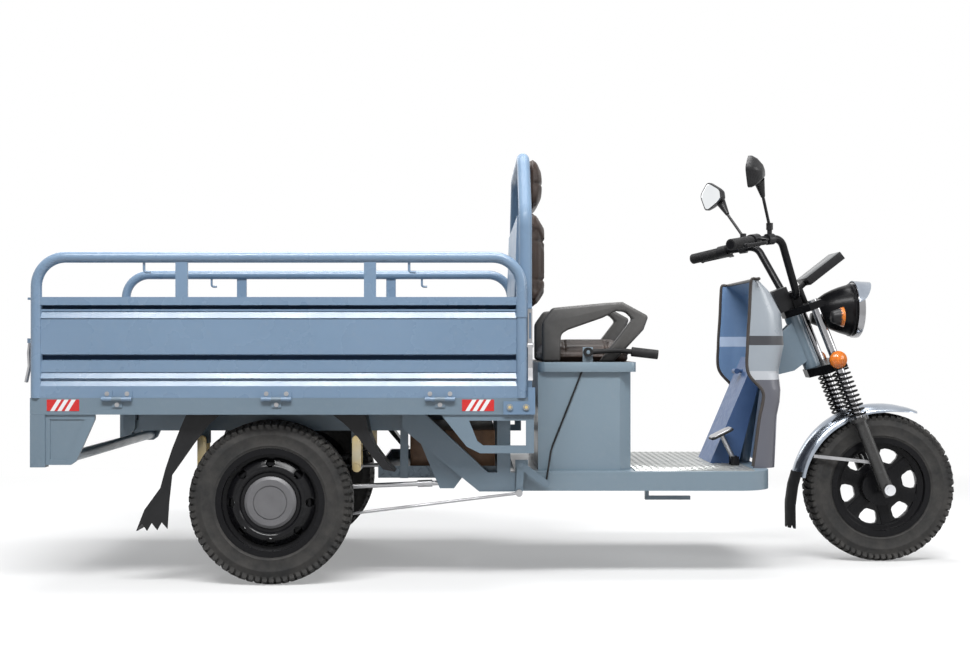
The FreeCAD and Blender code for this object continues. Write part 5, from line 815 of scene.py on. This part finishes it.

# %% [markdown]
# ## Springs
# The fork springs are wound wire between the bottom yoke and the collar of each fork leg. A spiral
# with a round section follows a rule, so a node tree winds it. The leaf springs keep the shape of
# their solid piece.

# %% Wind the fork springs
wind, given, wind_out = new_tree("wound_spring", [
    ("Turns", "Float", 10.0), ("Height", "Float", 0.16), ("Coil", "Float", 0.0275),
    ("Wire", "Float", 0.0035), ("Material", "Material", None)])
helix = put(wind, "GeometryNodeCurveSpiral", Resolution=26, Rotations=given["Turns"],
            Start_Radius=given["Coil"], End_Radius=given["Coil"], Height=given["Height"])["Curve"]
section = put(wind, "GeometryNodeCurvePrimitiveCircle", Resolution=10, Radius=given["Wire"])["Curve"]
wire = put(wind, "GeometryNodeCurveToMesh", Curve=helix, Profile_Curve=section, Fill_Caps=True)["Mesh"]
end_tree(wind, wire, given["Material"], wind_out)

fork_up = joint_axis["fork_travel"]
fork_ahead = Vector((fork_up.z, 0.0, -fork_up.x))
spring_y = 0.098
spring_foot = 0.2633
spring_height = 0.1584


def on_fork(along, y):
    """A point of the raked fork, from the front axle."""
    return axle_front + fork_up * along + Vector((0.0, y, 0.0))


tilt = Matrix((fork_ahead, (0.0, 1.0, 0.0), fork_up)).transposed().to_4x4()
springs = []
for y in (-spring_y, spring_y):
    coil = grow(wind, Turns=10.0, Height=spring_height, Coil=0.0275, Wire=0.0035, Material=black_paint)
    coil.transform(Matrix.Translation(on_fork(spring_foot, y)) @ tilt)
    springs.append(coil)
fork_coils = seat_piece("fork_coils", joined(springs), "steering", black_paint, True, ("fork_springs",))
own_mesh(fork_coils)
print("fork springs:", len(fork_coils.data.polygons), "faces")

# %% Seat the leaf springs
leaves = seat_piece("leaf_packs", solid_copy("leaf_springs"), "chassis", black_paint, True, ("leaf_springs",))
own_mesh(leaves)
print("leaf packs:", len(leaves.data.polygons), "faces")

# %% [markdown]
# ## Lamps
# The head lamp is a black pressed bowl, a bright rim, a fluted glass and a small visor. Behind the
# glass sits a polished reflector with its bulb, so the glass has something to show. All of them are
# turned round the lamp's own axis, which points forwards.

# %% Turn the head lamp
lamp_z = 0.847
lamp_place = Matrix.Translation((0.0, 0.0, lamp_z)) @ Matrix.Rotation(-math.pi / 2, 4, "Z")


def lamp_part(name, profile, material, steps=64):
    """A ring or bowl turned round the lamp axis, from (radius, place along X)."""
    mesh = turned(profile, steps)
    mesh.transform(lamp_place)
    seat_piece(name, mesh, "steering", material, True, ("headlight",))


outer = [(0.002, 1.0365), (0.034, 1.037), (0.040, 1.040), (0.056, 1.062), (0.068, 1.086),
         (0.078, 1.112), (0.084, 1.132), (0.0865, 1.1415), (0.0895, 1.1440), (0.0895, 1.1475),
         (0.0870, 1.1500), (0.0870, 1.1525)]
inner = [(0.0840, 1.1525), (0.0815, 1.1360), (0.0660, 1.0900), (0.0390, 1.0440), (0.002, 1.0420)]
lamp_part("lamp_bowl", outer + inner, black_paint)
rim = [(0.0870, 1.1535), (0.0935, 1.1545), (0.0948, 1.1600), (0.0950, 1.1680), (0.0938, 1.1740),
       (0.0905, 1.1768), (0.0868, 1.1760), (0.0845, 1.1725), (0.0845, 1.1535)]
lamp_part("lamp_rim", rim, dark_chrome)
dome = [(0.0842, 1.1715), (0.0715, 1.1805), (0.0500, 1.1850), (0.0250, 1.1880), (0.0006, 1.1888)]
glass_skin = 0.0035
lamp_part("lamp_lens", dome + [(r, x - glass_skin) for r, x in reversed(dome)], lamp_glass)
mirror_bowl = [(0.0820, 1.1600), (0.0700, 1.1280), (0.0520, 1.1020), (0.0300, 1.0850), (0.0080, 1.0790)]
bowl_skin = 0.002
lamp_part("lamp_reflector", mirror_bowl + [(r, x - bowl_skin) for r, x in reversed(mirror_bowl)],
          reflector_bowl)
bulb = [(0.0005, 1.1300), (0.0060, 1.1270), (0.0075, 1.1200), (0.0070, 1.0980), (0.0070, 1.0800),
        (0.0005, 1.0800)]
lamp_part("lamp_bulb", bulb, white_plastic, 24)

# %% Bend the visor
visor_radius = 0.0990
visor_skin = 0.0018
visor_close = 0.004
visor_root_x = 1.1545
visor_reach = 0.058
visor_start, visor_sweep = 14.0, 152.0


def visor_row(share, steps=4):
    """A line of the visor from the lamp rim outwards; the sheet is longest at the top."""
    turn = math.radians(visor_start + visor_sweep * share)
    reach = visor_reach * math.sin(math.pi * share) ** 0.5
    out = Vector((0.0, math.cos(turn), math.sin(turn)))
    row = []
    for j in range(steps + 1):
        point = Vector((visor_root_x + reach * j / steps, 0.0, lamp_z))
        row.append((point + out * (visor_radius - visor_close * j / steps), out))
    return row


bends = 28
visor_mesh = shell([visor_row(i / bends) for i in range(bends + 1)], visor_skin)
seat_piece("lamp_visor", visor_mesh, "steering", polished, True, ("headlight",))
print("head lamp turned, visor bent in", bends, "steps")

# %% Colour the indicators and side reflectors
def repainted(name, node, body, choose, materials, width=0.0, segments=2, angle=35.0):
    """A solid piece with softened edges, where choose(centre, normal) picks each face's finish."""
    mesh = solid_copy(node)
    if width:
        shape = bmesh.new()
        shape.from_mesh(mesh)
        bmesh.ops.dissolve_limit(shape, angle_limit=math.radians(0.6), verts=shape.verts, edges=shape.edges)
        shape.to_mesh(mesh)
        shape.free()
        mesh = through(mesh, "BEVEL", width=width, segments=segments, limit_method="ANGLE",
                       angle_limit=math.radians(angle))
    mesh.materials.clear()
    made = seat_piece(name, mesh, body, None, True, (node,))
    for material in materials:
        mesh.materials.append(material)
    for face in mesh.polygons:
        face.material_index = choose(face.center, face.normal)
    return made


reflector_top_z = 0.76
lens_start_x = 1.0785


def lamp_face(centre, normal):
    """Amber on the outer faces of the reflectors and on the front of the indicators."""
    if centre.z < reflector_top_z:
        return 0 if abs(normal.y) > 0.6 else 1
    return 0 if centre.x > lens_start_x else 1


lamp_finishes = [amber_lens, black_plastic]
indicator_lamps = repainted("indicator_lamps", "indicators", "steering", lamp_face, lamp_finishes)
print("lamps made")

# %% [markdown]
# ## Panels with soft edges
# Pressed sheet and moulded plastic never end in a knife edge. The leg shield is silver outside and
# blue inside. Outside, a painted shade stripe lies along a crease high up, and a painted highlight
# stripe lies above the part that is darker below. Inside, a painted highlight stripe runs along the
# same crease. The stripes lie at fixed heights, so the finish itself can draw them. The armrests are
# thick mouldings whose corners are well rounded.

# %% A leg shield with painted shade and highlight stripes
shield_silver = paint("shield_silver", (0.300, 0.332, 0.366), (0.250, 0.282, 0.318), 0.30)
darker_foot = (0.300, 0.617)
painted_highlight_stripe = (0.617, 0.645)
painted_crease_shade = (0.728, 0.758)
inner_painted_highlight = (0.722, 0.757)
# Darker below the highlight stripe.
tinted_bands(shield_silver, [darker_foot], (0.092, 0.094, 0.114))
# Painted highlight: a pale stripe along the angled band of the sheet.
tinted_bands(shield_silver, [painted_highlight_stripe], (0.420, 0.440, 0.470))
# Painted shade: a dark stripe along a crease in the sheet.
tinted_bands(shield_silver, [painted_crease_shade], (0.030, 0.031, 0.037))
shield_blue = moulded("shield_blue", (0.160, 0.260, 0.430), (0.140, 0.235, 0.400), 0.42, shine=0.24)
# Painted highlight: a pale stripe on the blue inside, along the same crease.
tinted_bands(shield_blue, [inner_painted_highlight], (0.480, 0.580, 0.740))
shield_top_z = 0.90


def shield_face(centre, normal):
    """Rubber on the top edge, blue on the hollow side, silver outside."""
    thin = abs(normal.z) > 0.85 and centre.z > shield_top_z
    hollow = normal.x < -0.15 or (abs(normal.y) > 0.5 and normal.y * centre.y < 0)
    return 2 if thin else 1 if hollow else 0


shield_finishes = [shield_silver, shield_blue, black_rubber]
shield = repainted("shield_panel", "leg_shield", "chassis", shield_face, shield_finishes)
print("leg shield striped")

# %% Round the armrests, the seat base and the dash box
arm_round = 0.009
edge_round = 0.003
arms = repainted("armrest_mouldings", "armrests", "chassis", lambda c, n: 0, [grey_plastic], arm_round, 3)
# The seat base's sides take the frame paint with painted light.
base = repainted("seat_tray", "seat_base", "chassis", lambda c, n: 1 if n.z > 0.8 else 0,
                 [cab_paint, black_plastic], edge_round)


display_low_z = 0.95


def dash_face(centre, normal):
    """The screen is the display's sloping rear face."""
    return 1 if centre.z > display_low_z and normal.z > 0.55 and normal.x < 0 else 0


dash_box = repainted("dash_and_display", "dash", "steering", dash_face, [black_plastic, screen], edge_round)
pack_case = repainted("battery_block", "battery_pack", "chassis", lambda c, n: 0, [battery_case], edge_round)
print("panels made")

# %% [markdown]
# ## Front mudguard
# The front mudguard is polished sheet with a black rubber flap at its tail. A sheet that curves both
# ways is easiest as rows of points with the way that they face, which then give it its thickness.

# %% Roll the front mudguard
def guard_point(degrees, across):
    """A point of the crowned mudguard: an arch that follows the wheel."""
    turn = math.radians(degrees)
    out = Vector((math.cos(turn), 0.0, math.sin(turn)))
    radius = np.interp(degrees, [63, 75, 90, 120, 150, 173], [0.2865, 0.2820, 0.2800, 0.2820, 0.2870, 0.2930])
    half = np.interp(degrees, [63, 65, 69, 76, 90], [0.026, 0.040, 0.049, 0.054, 0.055])
    drop = np.interp(degrees, [63, 76, 90, 120, 173], [0.010, 0.022, 0.030, 0.035, 0.033])
    bend = 0.5 * math.pi * across
    point = axle_front + out * float(radius - drop * (1.0 - math.cos(bend)))
    return point + Vector((0.0, float(half) * math.sin(bend), 0.0))


def guard_row(degrees, steps=28):
    """A line across the mudguard, each point with the way that the sheet faces there."""
    row = []
    edge = 0.98
    for j in range(steps + 1):
        across = edge * (2.0 * j / steps - 1.0)
        side = guard_point(degrees, across + 0.01) - guard_point(degrees, across - 0.01)
        ahead = guard_point(degrees + 0.1, across) - guard_point(degrees - 0.1, across)
        row.append((guard_point(degrees, across), side.cross(ahead).normalized()))
    return row


guard_tail, guard_sweep, guard_steps = 173.0, 110.0, 72
guard_skin = 0.0022
guard_rows = [guard_row(guard_tail - guard_sweep * i / guard_steps) for i in range(guard_steps + 1)]
crown = shell(guard_rows, guard_skin)
seat_piece("guard_crown", crown, "fork_lower", polished, True, ("front_fender",))


flap_top_z, flap_foot_z, flap_notch = 0.302, 0.112, 0.014
flap_half, flap_bow, flap_skin = 0.053, 0.020, 0.003
flap_levels = 24


def flap_row(share, steps=16):
    """A level of the rubber flap, bowed across and notched along its foot."""
    row = []
    fall = float(np.interp(share, [0.0, 0.25, 0.6, 1.0], [0.951, 0.938, 0.929, 0.930]))
    for j in range(steps + 1):
        across = 2.0 * j / steps - 1.0
        foot = flap_foot_z + (flap_notch if j % 4 == 2 else 0.0)
        z = flap_top_z + (foot - flap_top_z) * share
        x = fall + flap_bow * across * across
        row.append((Vector((x, flap_half * across, z)), Vector((-1.0, 0.0, 0.0))))
    return row


flap = shell([flap_row(i / flap_levels) for i in range(flap_levels + 1)], flap_skin)
seat_piece("guard_flap", flap, "fork_lower", black_rubber)


def flat_bar(start, end, width, skin):
    """A flat bar on edge between two points."""
    start, end = Vector(start), Vector(end)
    along = (end - start).normalized()
    broad = along.cross(Vector((0.0, 1.0, 0.0))).normalized() * (width / 2)
    deep = along.cross(broad).normalized() * (skin / 2)
    section = [u * broad + w * deep for u, w in ((-1, -1), (1, -1), (1, 1), (-1, 1))]
    return stacked([[p + offset for offset in section] for p in (start, end)])


stay_width, stay_skin = 0.011, 0.003
stays = []
for side in (-1, 1):
    on_guard = (1.012, side * 0.0560, 0.356)
    on_leg = (1.203, side * 0.0795, 0.337)
    stays.append(flat_bar(on_guard, on_leg, stay_width, stay_skin))
seat_piece("guard_stays", joined(stays), "fork_lower", steel, False)
print("front mudguard rolled")

# %% [markdown]
# ## Edge strip and mirrors
# The leg shield has a moulded edge strip all the way round its open side. A small node tree runs a
# round section along any given path, smooths the corners and closes the ends. The mirror stems
# are bent wire, so the same tree makes them. A mirror housing is a wedge: its outline, with the corners
# cut again and again until they are round, shrinks in a few steps from the glass to the back.

# %% Trim the leg shield
trim, given, trim_out = new_tree("edge_strip", [
    ("Radius", "Float", 0.005), ("Steps", "Int", 160), ("Material", "Material", None)])
path = put(trim, "GeometryNodeMeshToCurve", Mesh=given["Geometry"])["Curve"]
smooth_path = put(trim, "GeometryNodeCurveSplineType", spline_type="CATMULL_ROM", Curve=path)["Curve"]
even = put(trim, "GeometryNodeResampleCurve", Curve=smooth_path, Count=given["Steps"])["Curve"]
section = put(trim, "GeometryNodeCurvePrimitiveCircle", Resolution=12, Radius=given["Radius"])["Curve"]
strip = put(trim, "GeometryNodeCurveToMesh", Curve=even, Profile_Curve=section, Fill_Caps=True)["Mesh"]
end_tree(trim, strip, given["Material"], trim_out)


def strip_along(points, radius, material, steps=160):
    """A round strip along a path."""
    base = bpy.data.meshes.new("path")
    base.from_pydata(points, [(i, i + 1) for i in range(len(points) - 1)], [])
    return grow(trim, base, Radius=radius, Steps=steps, Material=material)


trim_radius = 0.0052
shield_half = 0.2485
edge = [(0.766, 0.340), (0.779, 0.437), (0.788, 0.500), (0.798, 0.545), (0.796, 0.583), (0.751, 0.641),
        (0.749, 0.729), (0.755, 0.830), (0.758, 0.900), (0.762, 0.938)]
corner = [(0.7755, -0.246, 0.940), (0.7825, -0.235, 0.940)]
around = [(x, -shield_half, z) for x, z in edge] + corner
around += [(x, -y, z) for x, y, z in around[::-1]]
seat_piece("shield_trim", strip_along(around, trim_radius, trim_brown, 320), "chassis", trim_brown)
print("leg shield trimmed")

# %% Shape the mirrors
mirror_toe = math.radians(24.0)
mirror_outline = [(0.022, 0.058), (-0.058, 0.022), (-0.066, -0.016), (0.034, -0.054), (0.072, 0.010)]


def softened(outline, rounds=3, share=0.14):
    """Cuts the corners of a closed outline again and again, so that they become round."""
    for _ in range(rounds):
        cut = []
        for first, second in zip(outline, outline[1:] + outline[:1]):
            cut.append(tuple(a + (b - a) * share for a, b in zip(first, second)))
            cut.append(tuple(b + (a - b) * share for a, b in zip(first, second)))
        outline = cut
    return outline


def mirror_ring(side, scale, depth):
    """The mirror's outline, scaled, at a depth behind its glass."""
    middle = Vector((0.7388, side * 0.3326, 1.2685))
    outboard = Vector((-math.sin(mirror_toe), side * math.cos(mirror_toe), 0.0))
    ahead = Vector((math.cos(mirror_toe), side * math.sin(mirror_toe), 0.0))
    up = Vector((0.0, 0.0, 1.0))
    return [middle + (outboard * u + up * v) * scale + ahead * depth for u, v in softened(mirror_outline)]


housing_steps = [(1.0, 0.0), (1.0, 0.010), (0.82, 0.026), (0.45, 0.042)]
glass_steps = [(0.90, 0.001), (0.90, -0.0006), (0.87, -0.0012)]
collar_profile = [(0.0040, 0.0), (0.0070, 0.0), (0.0105, 0.020), (0.0180, 0.062), (0.0040, 0.062)]
socket_profile = [(0.0040, 0.0), (0.0110, 0.0), (0.0110, 0.022), (0.0040, 0.022)]
socket_foot_z = 1.1013
stem_radius = 0.0050


def mirror(word, side):
    """A wedge-shaped housing with its neck, stem and socket, and the glass set into it."""
    body = "mirror_" + word
    foot = joint_at[body + "_swivel"].copy()
    foot.z = socket_foot_z
    root = foot + Vector((0.0, 0.0, socket_profile[-1][1] / 2))
    neck = Vector((0.7900, side * 0.2860, 1.2000))
    centre = Vector((0.7620, side * 0.3300, 1.2700))
    housing = stacked([mirror_ring(side, *step) for step in housing_steps])
    stem_path = [root, root.lerp(neck, 0.5), neck, neck.lerp(centre, 0.8)]
    stem = strip_along(stem_path, stem_radius, black_plastic, 48)
    collar = turned(collar_profile, 32)
    collar.transform(Matrix.Translation(neck) @ (centre - neck).to_track_quat("Y", "Z").to_matrix().to_4x4())
    socket = turned(socket_profile, 32)
    socket.transform(Matrix.Translation(foot) @ Matrix.Rotation(math.pi / 2, 4, "X"))
    solid = joined([housing, stem, collar, socket])
    seat_piece("housing_" + word, solid, body, black_plastic, True, (body,))
    glass = stacked([mirror_ring(side, *step) for step in glass_steps])
    seat_piece("glass_" + word, glass, body, mirror_glass, False)


mirror("right", -1)
mirror("left", 1)
print("mirrors shaped")

# %% [markdown]
# ## Grips
# Rubber grips are ribbed so that a hand can't slip. A row of ribs is a profile with a wave in it, turned
# round the handlebar. The right one twists, so it rides on a body of its own.

# %% Rib the grips
def ribbed(name, body, start, end, inner, radius, ribs, material, replaced=()):
    """A sleeve with rounded ribs between two points."""
    run = Vector(end) - Vector(start)
    profile = [(inner, 0.0), (radius, 0.0)]
    pitch = run.length / ribs
    crest = radius + 0.0012
    for i in range(ribs):
        profile += [(radius, (i + 0.15) * pitch), (crest, (i + 0.30) * pitch),
                    (crest, (i + 0.70) * pitch), (radius, (i + 0.85) * pitch)]
    profile += [(radius, run.length), (inner, run.length)]
    mesh = turned(profile, 40)
    mesh.transform(Matrix.Translation(start) @ run.to_track_quat("Y", "Z").to_matrix().to_4x4())
    return seat_piece(name, mesh, body, material, True, replaced)


twist_bore, fixed_bore, grip_radius = 0.0126, 0.0168, 0.0172
grip_start, grip_end, grip_ribs = 0.0482, 0.1658, 16
bar_right = joint_at["throttle_twist"]
for side, word, body in ((-1, "right", "throttle_grip"), (1, "left", "steering")):
    bar_in = Vector((bar_right.x, -side * bar_right.y, bar_right.z))
    bar_out = Vector((0.674, side * 0.350, 1.042))
    along = (bar_out - bar_in).normalized()
    twists = word == "right"
    grip = ribbed("grip_" + word, body, bar_in + along * grip_start, bar_in + along * grip_end,
                  twist_bore if twists else fixed_bore, grip_radius, grip_ribs, black_rubber,
                  (body,) if twists else ())
print("grips ribbed")

# %% [markdown]
# ## Wheel discs
# Behind, a pressed disc swells outwards between hub and rim, with round holes punched in its slope to
# cool the brake. In front, six windows break a web between the cast spokes. We turn each disc on a
# lathe and punch it with a boolean cut.

# %% Turn and punch the discs
def punched(disc, punches):
    """The disc with these closed shapes cut away."""
    tool = bpy.data.objects.new("punch", joined(punches))
    bpy.context.scene.collection.objects.link(tool)
    bpy.context.view_layer.update()
    cut = through(disc, "BOOLEAN", object=tool, operation="DIFFERENCE", solver="EXACT")
    bpy.data.objects.remove(tool)
    return cut


hole_count, hole_radius, hole_circle = 8, 0.0135, 0.1205
punch_length = 0.05


def dish(name, body, side):
    """A domed disc with a ring of punched holes, seated on the flat wheel centre."""
    face = [(0.0815, 0.0224), (0.0815, 0.0270), (0.0900, 0.0285), (0.0940, 0.0330), (0.0990, 0.0378),
            (0.1040, 0.0394), (0.1090, 0.0390), (0.1140, 0.0362), (0.1220, 0.0290), (0.1330, 0.0236),
            (0.1345, 0.0224)]
    back = [(0.1310, 0.0224), (0.1212, 0.0262), (0.1130, 0.0334), (0.1080, 0.0362), (0.1040, 0.0366),
            (0.1002, 0.0352), (0.0955, 0.0305), (0.0915, 0.0258), (0.0840, 0.0244), (0.0840, 0.0224)]
    disc = turned([(r, side * a) for r, a in face + back], 128)
    punches = []
    reach = punch_length * side
    for i in range(hole_count):
        turn = 2.0 * math.pi * i / hole_count
        punch = turned([(0.0, reach), (hole_radius, reach), (hole_radius, 0.0), (0.0, 0.0)], 32)
        punch.transform(Matrix.Translation((hole_circle * math.cos(turn), 0.0, hole_circle * math.sin(turn))))
        punches.append(punch)
    disc = punched(disc, punches)
    disc.transform(Matrix.Translation(joint_at[body + "_spin"]))
    seat_piece(name, disc, body, gloss_black)
    print(name, "faces:", len(disc.polygons))


dish("dish_right", "rear_wheel_right", -1)
dish("dish_left", "rear_wheel_left", 1)


window_reach = 0.03


def window(turn):
    """A closed rounded window of the front web, turned to its place."""
    outline = [(0.084, -9.0), (0.090, -13.0), (0.112, -15.5), (0.124, -14.0), (0.129, -8.0), (0.130, 0.0)]
    outline += [(r, -d) for r, d in outline[-2::-1]]
    ring = [(r, turn + math.radians(d)) for r, d in outline]
    ends = (-window_reach, window_reach)
    return stacked([[(r * math.cos(a), y, r * math.sin(a)) for r, a in ring] for y in ends])


spoke_count = 6
first_window = math.radians(72.0)
web = turned([(0.046, -0.008), (0.137, -0.006), (0.137, 0.006), (0.046, 0.008)], 128)
web = punched(web, [window(first_window + 2.0 * math.pi * i / spoke_count) for i in range(spoke_count)])
web.transform(Matrix.Translation(axle_front))
seat_piece("front_web", web, "front_wheel", gloss_black)
print("front web faces:", len(web.polygons))

# %% [markdown]
# ## Small repeated things
# Screws, nuts and the lens-shaped lugs of the foot plate repeat by the dozen. One node tree sets a
# screw on each marked point, turned the way the point faces. Another lays the lugs in a basket weave.

# %% Set the screws
screw, given, screw_out = new_tree("screws", [
    ("Head", "Float", 0.0045), ("Rise", "Float", 0.0028), ("Material", "Material", None)])
facing = put(screw, "GeometryNodeInputNamedAttribute", data_type="FLOAT_VECTOR", Name="facing")["Attribute"]
turn = put(screw, "FunctionNodeAlignRotationToVector", axis="Z", Vector=facing)["Rotation"]
rise = put(screw, "ShaderNodeMath", operation="MULTIPLY", i0=given["Rise"], i1=2.0)[0]
head = put(screw, "GeometryNodeMeshCylinder", Vertices=6, Radius=given["Head"], Depth=rise)["Mesh"]
wide = put(screw, "ShaderNodeMath", operation="MULTIPLY", i0=given["Head"], i1=1.55)[0]
washer = put(screw, "GeometryNodeMeshCylinder", Vertices=20, Radius=wide, Depth=given["Rise"])["Mesh"]
both = screw.nodes.new("GeometryNodeJoinGeometry")
screw.links.new(head, both.inputs["Geometry"])
screw.links.new(washer, both.inputs["Geometry"])
whole_screw = both.outputs["Geometry"]
set_out = put(screw, "GeometryNodeInstanceOnPoints", Points=given["Geometry"], Instance=whole_screw,
              Rotation=turn)["Instances"]
end_tree(screw, set_out, given["Material"], screw_out)


def screws(name, body, marks, head=0.0045, rise=0.0026, material=steel):
    """Screws at (point, way it faces)."""
    base = bpy.data.meshes.new(name)
    base.from_pydata([p for p, _ in marks], [], [])
    store = base.attributes.new("facing", "FLOAT_VECTOR", "POINT")
    for i, (_, way) in enumerate(marks):
        store.data[i].vector = way
    mesh = grow(screw, base, Head=head, Rise=rise, Material=material)
    seat_piece(name, mesh, body, material, False)
    print(name, len(marks), "screws")


hinge_xs = (-1.197, -0.720, -0.230)
tail_ys = (-0.330, 0.0, 0.330)
hinge_face_y = 0.5236
tail_face_x = -1.4626
bed_leaf_z, gate_leaf_z = 0.550, 0.583
screw_spread = (-0.030, 0.030)
bed_marks = [((x, s * hinge_face_y, bed_leaf_z), (0, s, 0)) for x in hinge_xs for s in (-1, 1)]
bed_marks += [((tail_face_x, y, bed_leaf_z), (-1, 0, 0)) for y in tail_ys]
screws("screws_bed", "cargo_bed", bed_marks)
for side, gate in ((-1, "side_gate_right"), (1, "side_gate_left")):
    gate_xs = [x + dx for x in hinge_xs for dx in screw_spread]
    screws("screws_" + gate, gate, [((x, side * hinge_face_y, gate_leaf_z), (0, side, 0)) for x in gate_xs])
tail_marks = [((tail_face_x, y + dy, gate_leaf_z), (-1, 0, 0)) for y in tail_ys for dy in screw_spread]
screws("screws_tailgate", "tailgate", tail_marks)

# %% Weave the lugs of the foot plate
weave, given, weave_out = new_tree("foot_plate_lugs", [
    ("Length", "Float", 0.37), ("Width", "Float", 0.67), ("Rows", "Int", 18), ("Columns", "Int", 33),
    ("Lug", "Vector", (0.0095, 0.0030, 0.0014)), ("Material", "Material", None)])
grid = put(weave, "GeometryNodeMeshGrid", Size_X=given["Length"], Size_Y=given["Width"],
           Vertices_X=given["Rows"], Vertices_Y=given["Columns"])["Mesh"]
index = put(weave, "GeometryNodeInputIndex")["Index"]
ratio = put(weave, "ShaderNodeMath", operation="DIVIDE", i0=index, i1=given["Columns"])[0]
row = put(weave, "ShaderNodeMath", operation="FLOOR", i0=ratio)[0]
mixed = put(weave, "ShaderNodeMath", operation="ADD", i0=row, i1=index)[0]
odd = put(weave, "ShaderNodeMath", operation="FLOORED_MODULO", i0=mixed, i1=2.0)[0]
lean = put(weave, "ShaderNodeMath", operation="MULTIPLY_ADD", i0=odd, i1=math.pi / 2, i2=math.pi / 4)[0]
turn = put(weave, "ShaderNodeCombineXYZ", Z=lean)[0]
lug = put(weave, "GeometryNodeMeshUVSphere", Segments=10, Rings=5, Radius=1.0)["Mesh"]
lugs = put(weave, "GeometryNodeInstanceOnPoints", Points=grid, Instance=lug, Rotation=turn,
           Scale=given["Lug"])
end_tree(weave, lugs["Instances"], given["Material"], weave_out)
plate_middle = (0.565, 0.0, 0.3374)
lug_mesh = grow(weave, Length=0.350, Width=0.660, Rows=17, Columns=31, Material=tread_metal)
lug_mesh.transform(Matrix.Translation(plate_middle))
seat_piece("foot_plate_lugs", lug_mesh, "chassis", tread_metal, True)
tray_side = (-0.2375, -0.3291, 0.3300)
tray_mesh = grow(weave, Length=0.350, Width=0.017, Rows=16, Columns=2, Lug=(0.0125, 0.0030, 0.0016),
                 Material=frame_paint)
tray_mesh.transform(Matrix.Translation(tray_side) @ Matrix.Rotation(math.pi / 2, 4, "X"))
seat_piece("tray_lugs", tray_mesh, "chassis", frame_paint, True)
print("lugs:", len(lug_mesh.polygons), "and", len(tray_mesh.polygons), "faces")

# %% Screw down the hoop and the front axle
hoop_foot_xs = (-0.021, 0.028)
hoop_foot_y, hoop_foot_z = 0.5296, 0.543
hoop_marks = [((x, s * hoop_foot_y, hoop_foot_z), (0, s, 0)) for x in hoop_foot_xs for s in (-1, 1)]
screws("screws_hoop", "cargo_bed", hoop_marks, head=0.0058, rise=0.0012, material=zinc)
nut_face_y = 0.1326
nut_marks = [((axle_front.x, s * nut_face_y, axle_front.z), (0, s, 0)) for s in (-1, 1)]
screws("axle_nuts", "fork_lower", nut_marks, head=0.0120, rise=0.0050, material=chrome)

# %% [markdown]
# ## Reflective tape
# The tape is a thin plate on the bed's side beam. It has its own flat coordinates in metres, so the
# slashes keep their slant wherever the strip sits.

# %% Stick the reflective tape on the bed
tape_inner_y, tape_outer_y = 0.5203, 0.5209
tape_low_z, tape_top_z = 0.5310, 0.5655
rear_tape = (-1.408, -1.311)
front_tape = (-0.164, -0.068)


def tape_strip(name, rear_x, front_x, side):
    """One strip of tape on the bed's side beam."""
    low, top = tape_low_z, tape_top_z
    outline = [(rear_x, low), (front_x, low), (front_x, top), (rear_x, top)]
    mesh = stacked([[(x, side * y, z) for x, z in outline] for y in (tape_inner_y, tape_outer_y)])
    made = seat_piece(name, mesh, "cargo_bed", tape, False)
    flat = made.data.uv_layers.new(name="strip")
    for loop in made.data.loops:
        spot = made.data.vertices[loop.vertex_index].co
        flat.data[loop.index].uv = (spot.x - (rear_x + front_x) / 2, spot.z - (low + top) / 2)


for side, word in ((-1, "right"), (1, "left")):
    tape_strip("tape_rear_" + word, *rear_tape, side)
    tape_strip("tape_front_" + word, *front_tape, side)
print("tape strips: 4")

# %% [markdown]
# ## Pedal and foot plate
# The foot brake pedal is a steel stem with a pad set square on its end, a metal plate in a rubber tray.
# It leans, so each part is a closed stack of outlines along the stem. The foot plate keeps its solid
# shape, and its raised edge takes a second finish.

# %% Shape the pedal
pedal_pin = joint_at["foot_brake"]
pedal_top = Vector((0.679, pedal_pin.y, 0.440))
pedal_up = (pedal_top - pedal_pin).normalized()
pedal_across = Vector((0.0, 1.0, 0.0))
pedal_ahead = pedal_across.cross(pedal_up)
pad_half, pedal_stem_radius = 0.040, 0.008
hub_bore, hub_radius, hub_half = 0.0063, 0.012, 0.014
pad_square = [(-pad_half, -pad_half), (pad_half, -pad_half), (pad_half, pad_half), (-pad_half, pad_half)]
pad_steps = [(0.94, -0.005), (1.0, -0.003), (1.0, 0.001), (0.97, 0.002)]
plate_steps = [(0.93, 0.0015), (0.93, 0.0045), (0.90, 0.0055)]
stem_sides = 24
stem_turns = [2.0 * math.pi * i / stem_sides for i in range(stem_sides)]
stem_round = [(pedal_stem_radius * math.cos(a), pedal_stem_radius * math.sin(a)) for a in stem_turns]
stem_foot = 0.75 * hub_radius - (pedal_top - pedal_pin).length


def across_pedal(outline, scale, place):
    """An outline square to the pedal's stem, at a place along it from the pad."""
    return [pedal_top + (pedal_across * u + pedal_ahead * v) * scale + pedal_up * place for u, v in outline]


hub_profile = [(hub_bore, -hub_half), (hub_radius, -hub_half), (hub_radius, hub_half), (hub_bore, hub_half)]
pedal_hub = turned(hub_profile, 48)
pedal_hub.transform(Matrix.Translation(pedal_pin))
pedal_stem = stacked([across_pedal(stem_round, 1.0, place) for place in (stem_foot, pad_steps[1][1])])
pad = stacked([across_pedal(softened(pad_square), *step) for step in pad_steps])
plate = stacked([across_pedal(softened(pad_square), *step) for step in plate_steps])
for mesh, material in ((pedal_hub, black_paint), (pedal_stem, steel), (pad, black_rubber), (plate, steel)):
    mesh.materials.append(material)
pedal_mesh = joined([pedal_hub, pedal_stem, pad, plate])
seat_piece("pedal", pedal_mesh, "brake_pedal", None, True, ("brake_pedal",))
print("pedal faces:", len(pedal_mesh.polygons))

# %% Finish the foot plate
plate_rise_z = 0.3385


def plate_face(centre, normal):
    """Black on the raised edge of the foot plate."""
    return 1 if centre.z > plate_rise_z else 0


repainted("foot_plate", "tread_plate", "chassis", plate_face, [tread_metal, black_paint])
print("foot plate finished")
